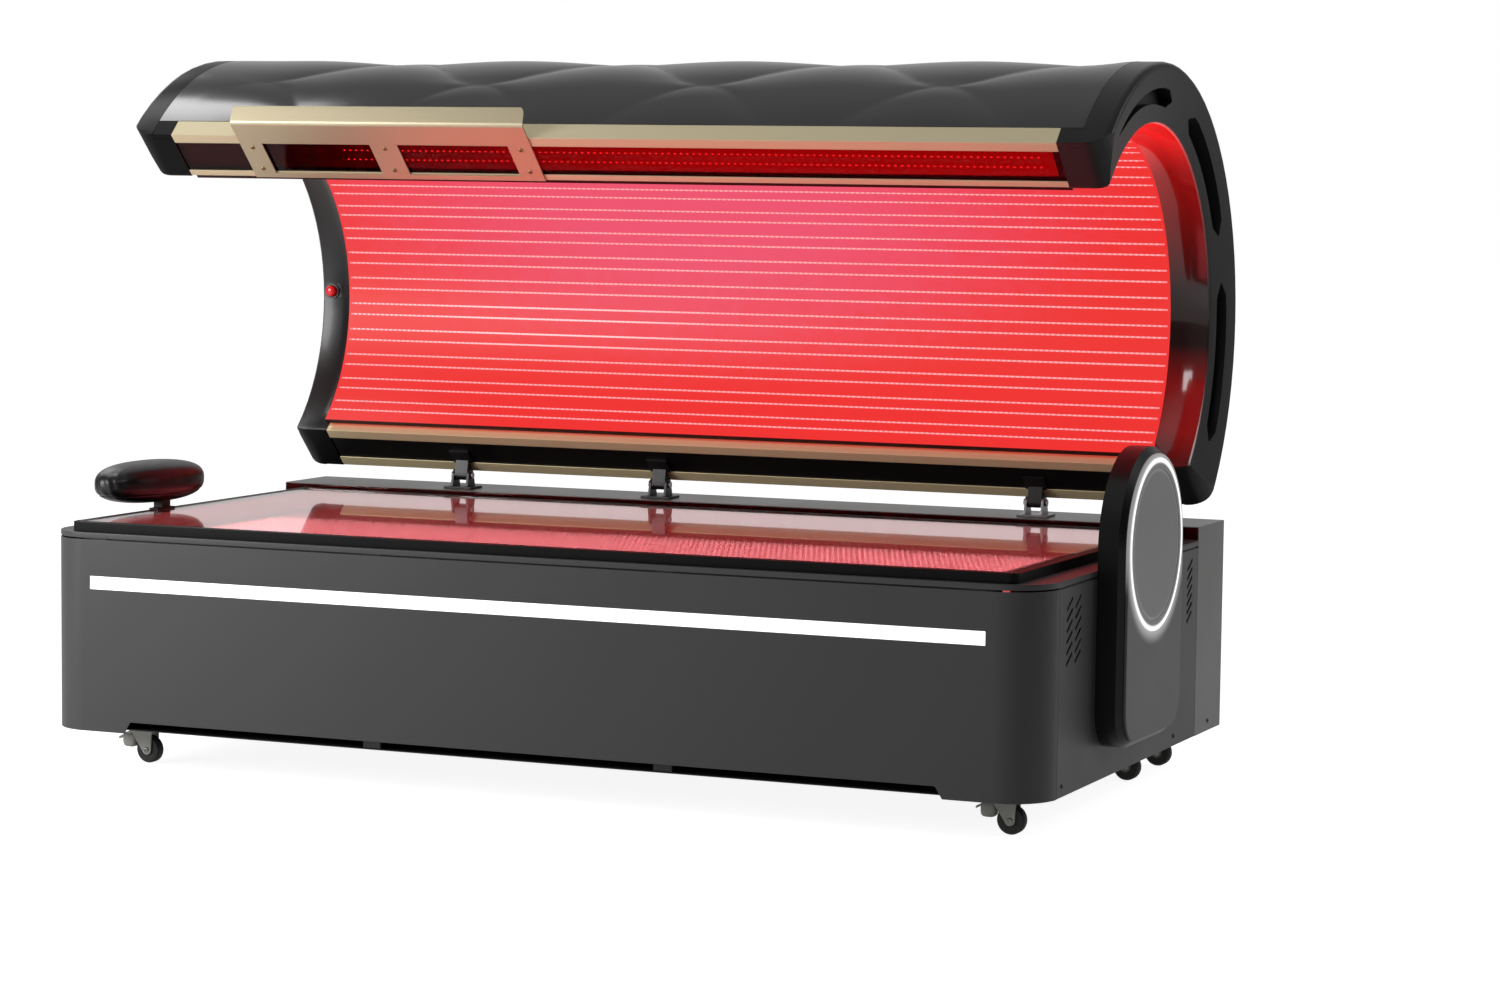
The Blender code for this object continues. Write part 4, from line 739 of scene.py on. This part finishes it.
ENDS = ("left", "right")
CASTERS = [end + "_" + row for end in ENDS for row in ("front", "mid", "rear")]
dress(GREY, ["front_panel", "side_panel_left", "side_panel_right", "deck_plate"], SMOOTH, bevel=0.0015)
dress(LEDGE, ["rear_housing"], SMOOTH)
dress(POD_FACE_PAINTED_HALO, ["pod_face"], SMOOTH, bevel=0.0012)
dress(BLACK, ["pod_body"], SMOOTH)
dress(CAP_LEFT_PAINTED_SHADE, ["end_cap_left"], SMOOTH)
dress(CAP_RIGHT_PAINTED_LIT, ["end_cap_right"], SMOOTH)
dress(FRAME, ["bed_frame"], SMOOTH, bevel=0.0010)
dress(BLACK, ["rear_channel", "headrest_post"], SMOOTH, bevel=0.0010)
dress(BLACK, ["mains_inlet"], SMOOTH, bevel=0.0006)
dress(IRON, ["hinge_bracket_left", "hinge_bracket_centre"], SMOOTH, bevel=0.0006)
dress(IRON, ["hinge_leaf_left", "hinge_leaf_centre", "hinge_leaf_right"], SMOOTH, bevel=0.0006)
dress(BLACK, ["fan_frame_left", "fan_frame_right", "fan_rotor_left", "fan_rotor_right"], SMOOTH)
dress(GOLD, ["trim_front_outer", "trim_front_inner"], SMOOTH, bevel=0.0008)
dress(REAR_GOLD_PAINTED_LIGHTER, ["trim_rear_inner", "trim_rear_outer"], SMOOTH, bevel=0.0012)
dress(HANDLE_GOLD_PAINTED_DARKER, ["handle"], SMOOTH, bevel=0.0008)
dress(STEEL, ["hinge_bracket_right"], SMOOTH, bevel=0.0006)
dress(STEEL, ["hinge_pin_left", "hinge_pin_centre", "hinge_pin_right", "power_supply"], SMOOTH)
dress(DARK_SCREW, ["button_bezel"], SMOOTH)
dress(INNER, ["base_frame", "bottom_pan", "control_box", "canopy_frame"])
dress(WHITE, ["front_light"], SMOOTH)
dress(RING, ["pod_ring"], SMOOTH)
dress(PANEL, ["canopy_light_panel"], SMOOTH)
dress(BED_BOARD, ["bed_light_panel"])
dress(BAR_BOARD, ["front_light_bar"])
dress(CLEAR, ["bed_panel"])
dress(SMOKE, ["front_window"])
dress(TYRE, ["caster_wheel_" + name for name in CASTERS], SMOOTH)
dress(NYLON, ["caster_fork_" + name for name in CASTERS], SMOOTH, bevel=0.0008)
dress(KNOB, ["push_button"], smooth=50)


STRIP_SEAT = 0.0002
STRIP_ENDS = 0.004
STRIP_EDGES = 0.0036
STRIP_THICK = 0.0014


def ledge_strip():
    """A thin glossy red strip over the riser between the deck and the ledge."""
    low, high = np.array(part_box("rear_housing"))
    _, face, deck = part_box("deck_plate")[1]
    centre = ((low[0] + high[0]) / 2, face + STRIP_SEAT, (deck + high[2]) / 2)
    size = (high[0] - low[0] - STRIP_ENDS, high[2] - deck - STRIP_EDGES, STRIP_THICK)
    points, faces = block(centre, (1, 0, 0), (0, 0, 1), (0, -1, 0), size, taper=0.9995)
    surface("ledge_strip", points, faces, SMOKE, "base", sharp=CREASE)


ledge_strip()


# A button head with a socket, from its middle outwards: shares of its radius and of its height
HEAD_PROFILE = np.array([[0, 0.35], [0.42, 0.35], [0.46, 1.0], [0.78, 0.86], [1.0, 0.30], [1.0, -0.4]])
HEAD_SIDES = 14
HEAD_TALL = 0.45


def heads(centres, out, radius, tall):
    """Button screw heads: HEAD_PROFILE turned about the line along out through each centre."""
    spin = np.linspace(0, 2 * np.pi, HEAD_SIDES + 1)[:-1]
    out = np.asarray(out, float) / np.linalg.norm(out)
    side = np.cross(out, [1.0, 0, 0] if abs(out[0]) < 0.9 else [0, 1.0, 0])
    side /= np.linalg.norm(side)
    wheel = np.cos(spin)[:, None] * side + np.sin(spin)[:, None] * np.cross(out, side)
    ring = HEAD_PROFILE[:, None, :1] * radius * wheel + HEAD_PROFILE[:, None, 1:] * tall * out
    points = np.asarray(centres, float)[:, None, None, :] + ring
    one = ringed(len(HEAD_PROFILE), len(spin))
    faces = (np.arange(len(points))[:, None, None] * ring[..., 0].size + one).reshape(-1, 4)
    return points, faces


def screws(name, centres, out, radius, mat, body, carried=False):
    """Screw heads in a row or a frame; carried ones are drawn with the canopy closed."""
    points, faces = heads(centres, out, radius, radius * HEAD_TALL)
    merge(surface(name, opened(points) if carried else points, faces, mat, body, sharp=CREASE))


def spots(*axes):
    """Every place where the given X, Y and Z values meet, as rows of points."""
    return np.stack(np.meshgrid(*axes, indexing="ij"), -1).reshape(-1, 3)


def on_face(points, axis, value):
    """The same points, moved along one axis onto a face."""
    points = points.copy()
    points[:, axis] = value
    return points


PLATE_UNDER = -0.0173
HANDLE_SPOTS = AXIS + spots([-0.842, -0.51, -0.178], [-0.527, -0.4615], [PLATE_UNDER])
FRAME_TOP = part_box("bed_frame")[1][2]
FRAME_SPOTS = MID + spots([-1.0775, 0.0, 1.0775], [-0.6025, 0.3875], [FRAME_TOP])
SIDE_SPOTS = MID + spots([0.0], [-0.50, 0.26, 0.52], [0.112])
RIGHT_SPOTS = on_face(SIDE_SPOTS, 0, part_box("side_panel_right")[1][0])
LEFT_SPOTS = on_face(SIDE_SPOTS, 0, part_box("side_panel_left")[0][0])
REAR_SPOTS = MID + spots([-1.08, -0.54, 0.0, 0.54, 1.08], [0.0], [0.115, 0.520])
BACK_SPOTS = on_face(REAR_SPOTS, 1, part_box("rear_housing")[1][1])
HANDLE_HEAD = 0.0054
FRAME_HEAD = 0.0045
PANEL_HEAD = 0.0050
AXLE_HEAD = 0.0062
screws("handle_screws", HANDLE_SPOTS, (0, 0, -1), HANDLE_HEAD, HANDLE_SCREW, "canopy", carried=True)
screws("bed_frame_screws", FRAME_SPOTS, (0, 0, 1), FRAME_HEAD, DARK_SCREW, "base")
screws("side_panel_screws_right", RIGHT_SPOTS, (1, 0, 0), PANEL_HEAD, DARK_SCREW, "base")
screws("side_panel_screws_left", LEFT_SPOTS, (-1, 0, 0), PANEL_HEAD, DARK_SCREW, "base")
screws("rear_housing_screws", BACK_SPOTS, (0, 1, 0), PANEL_HEAD, DARK_SCREW, "base")

LIP_FROM, LIP_TO, LIP_PITCH = -0.62, 1.0, 0.0145
LIP_ROWS = [-0.512, -0.484]
LIP_SEAT = -0.00585
LIP_SIZE = (0.0050, 0.0036, 0.0002)


def lip_lamps():
    """Two rows of flat lamps under the lip's board, behind the smoked window, lit towards the pod end."""
    x = np.arange(LIP_FROM, LIP_TO, LIP_PITCH)[None, :]
    y = np.array(LIP_ROWS)[:, None]
    x, y = np.broadcast_arrays(x, y)
    seat = AXIS + np.stack([x, y, np.full_like(x, LIP_SEAT)], -1)
    x_axis, y_axis, z_axis = frame_axes(seat)
    points, faces = blocks(seat, x_axis, -y_axis, -z_axis, LIP_SIZE)
    surface("lip_lamps", opened(points), faces, LIP_LAMP, "canopy", sharp=CREASE)


lip_lamps()


BRAKE_HALF = np.array([0.017, 0.015, 0.017])
BRAKE_AT = np.array([-0.0265, 0.0, 0.049])
BRAKE_POWER = 3.4
BRAKE_COUNTS = (24, 15)
TRAIL = 0.022
CHEEK_OUT = 0.0167


def caster_brakes():
    """On each caster fork: a rounded brake block opposite the wheel, and a capped axle on each cheek."""
    for name in CASTERS:
        low, high = np.array(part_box("caster_wheel_" + name))
        hub = (low + high) / 2
        pivot = np.array([hub[0] - TRAIL, hub[1], 0.0])
        points, faces = rounded(pivot + BRAKE_AT, BRAKE_HALF, BRAKE_POWER, BRAKE_POWER, *turns(*BRAKE_COUNTS))
        merge(surface("caster_brake_" + name, points, faces, NYLON, "caster_fork_" + name))
        for side, way in (("near", -1), ("far", 1)):
            at = [[hub[0], hub[1] + way * CHEEK_OUT, hub[2]]]
            label = "caster_axle_" + side + "_" + name
            screws(label, at, (0, way, 0), AXLE_HEAD, SCREW, "caster_fork_" + name)


caster_brakes()


TRAY_IN = 0.020
TRAY_UNDER = 0.004
TRAY_GAP = 0.0015
WALL_THICK = 0.0016
TRAY_END_GAP = 0.0004
TRAY_THICK = 0.0012


def tray_walls():
    """The tray round the bed's lamp board: thin walls on three sides, glowing red as painted light of the
    board on them, and a strip of floor at each end.
    """
    low, high = np.array(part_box("bed_panel"))
    board = np.array(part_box("bed_light_panel"))
    foot, head = board[1, 2] - TRAY_UNDER, low[2] - TRAY_GAP
    mid, half = (low + high) / 2, (high - low) / 2 - TRAY_IN
    tall = head - foot
    left, right, rear = mid[0] - half[0], mid[0] + half[0], mid[1] + half[1]
    walls = (
        ("left", left, mid[1], half[1], (0, 1, 0), (1, 0, 0)),
        ("right", right, mid[1], half[1], (0, 1, 0), (-1, 0, 0)),
        ("rear", mid[0], rear, half[0], (1, 0, 0), (0, -1, 0)),
    )
    for name, x, y, long, along, out in walls:
        size = (2 * long, tall, WALL_THICK)
        points, faces = block((x, y, foot + tall / 2), along, (0, 0, 1), out, size)
        merge(surface("tray_wall_" + name, points, faces, TRAY_WALL_PAINTED_GLOW, "base", sharp=CREASE))
    for name, edge, wall in (("left", board[0, 0], left), ("right", board[1, 0], right)):
        size = (abs(wall - edge) - TRAY_END_GAP, 2 * half[1], TRAY_THICK)
        points, faces = block(((edge + wall) / 2, mid[1], foot), *np.eye(3), size)
        merge(surface("tray_floor_" + name, points, faces, TRAY_FLOOR, "base", sharp=CREASE))


tray_walls()

# Stage, light and world

FLOOR_HALF = 40.0
FLOOR_DROP = 0.0005
FLOOR_GLOW = 0.90
FLOOR_MIRROR = 0.36
FILL = 0.16

# How bright the room is in gloss as a ray turns to an axis: the axis, two cosines, and the levels there
MIRROR_BACK = ((0, 1, 0), (0.10, 0.85), (0.16, 0.58))
MIRROR_RIGHT = ((1, 0, 0), (-0.15, 0.30), (1.0, 0.40))
MIRROR_TOP = ((0, 0, 1), (0.45, 0.90), (0.0, 0.62))


def combine(tree, operation, first, second):
    """The value of a Math node with two inputs."""
    return add(tree, "Math", {0: first, 1: second}, operation=operation).outputs["Value"]


def rays(tree):
    """Kinds of ray, and 1 for the rays that the eye follows, straight or through clear acrylic."""
    path = add(tree, "LightPath").outputs
    return path, combine(tree, "MAXIMUM", path["Is Camera Ray"], path["Is Transmission Ray"])


def lay_floor():
    """A pale floor: white to the eye, and dimmer in gloss, so that dark lacquer stays dark."""
    mat, tree, shader = start("pale_floor", "#d0d0d0", 0.7)
    path, seen = rays(tree)
    glow = combine(tree, "MULTIPLY", seen, FLOOR_GLOW)
    shiny = combine(tree, "MULTIPLY", path["Is Glossy Ray"], FLOOR_MIRROR)
    shader.inputs["Emission Color"].default_value = (1, 1, 1, 1)
    tree.links.new(combine(tree, "MAXIMUM", glow, shiny), shader.inputs["Emission Strength"])
    mesh = bpy.data.meshes.new("floor")
    corner = FLOOR_HALF * np.array([[-1, -1, 0], [1, -1, 0], [1, 1, 0], [-1, 1, 0]])
    mesh.from_pydata(corner.tolist(), [], [(0, 1, 2, 3)])
    mesh.materials.append(mat)
    floor = bpy.data.objects.new("floor", mesh)
    floor.location.z = -FLOOR_DROP
    bpy.context.scene.collection.objects.link(floor)


def light_room():
    """A pale room: white to the eye, and in gloss dark in front and brighter behind and above."""
    world = bpy.data.worlds.new("studio")
    bpy.context.scene.world = world
    world.use_nodes = True
    tree = world.node_tree
    path, seen = rays(tree)
    way = add(tree, "TexCoord").outputs["Generated"]

    def eased(axis, cosines, levels):
        turn = add(tree, "VectorMath", {0: way, 1: axis}, operation="DOT_PRODUCT").outputs["Value"]
        span = {"Value": turn, "From Min": cosines[0], "From Max": cosines[1]}
        span |= {"To Min": levels[0], "To Max": levels[1]}
        return add(tree, "MapRange", span, interpolation_type="SMOOTHSTEP").outputs["Result"]

    mirror = combine(tree, "MULTIPLY", eased(*MIRROR_BACK), eased(*MIRROR_RIGHT))
    mirror = combine(tree, "MAXIMUM", mirror, eased(*MIRROR_TOP))
    shiny = combine(tree, "MULTIPLY", path["Is Glossy Ray"], mirror)
    fill = combine(tree, "MULTIPLY", path["Is Diffuse Ray"], FILL)
    level = combine(tree, "MAXIMUM", combine(tree, "MAXIMUM", seen, shiny), fill)
    tree.links.new(level, tree.nodes["Background"].inputs["Strength"])
    tree.nodes["Background"].inputs["Color"].default_value = (1, 1, 1, 1)


def softbox(name, at, aim, size, power):
    """A square area lamp that looks at a point."""
    data = bpy.data.lights.new(name, "AREA")
    data.size = size
    data.energy = power
    obj = bpy.data.objects.new(name, data)
    bpy.context.scene.collection.objects.link(obj)
    back = (np.array(at) - np.array(aim)) / np.linalg.norm(np.array(at) - np.array(aim))
    side = np.cross([0, 0, 1.0], back)
    side /= np.linalg.norm(side)
    turn = np.eye(4)
    turn[:3, :4] = np.column_stack([side, np.cross(back, side), back, at])
    obj.matrix_world = Matrix(turn.tolist())


lay_floor()
light_room()
softbox("key", (-3.1, -2.9, 1.6), (-0.5, -0.4, 0.7), 1.8, 142.0)
softbox("side", (4.6, 2.2, 2.6), (1.1, 0.3, 0.5), 2.0, 54.0)
softbox("top", (-3.0, 0.5, 4.1), (-0.9, 0.0, 1.4), 1.0, 25.0)
softbox("rim", (-4.2, 2.2, 3.2), (-1.0, 0.1, 1.3), 1.8, 22.0)
softbox("front", (1.4, -3.6, 3.4), (0.4, -0.5, 1.4), 0.9, 22.0)
bpy.context.scene.view_settings.view_transform = "Standard"
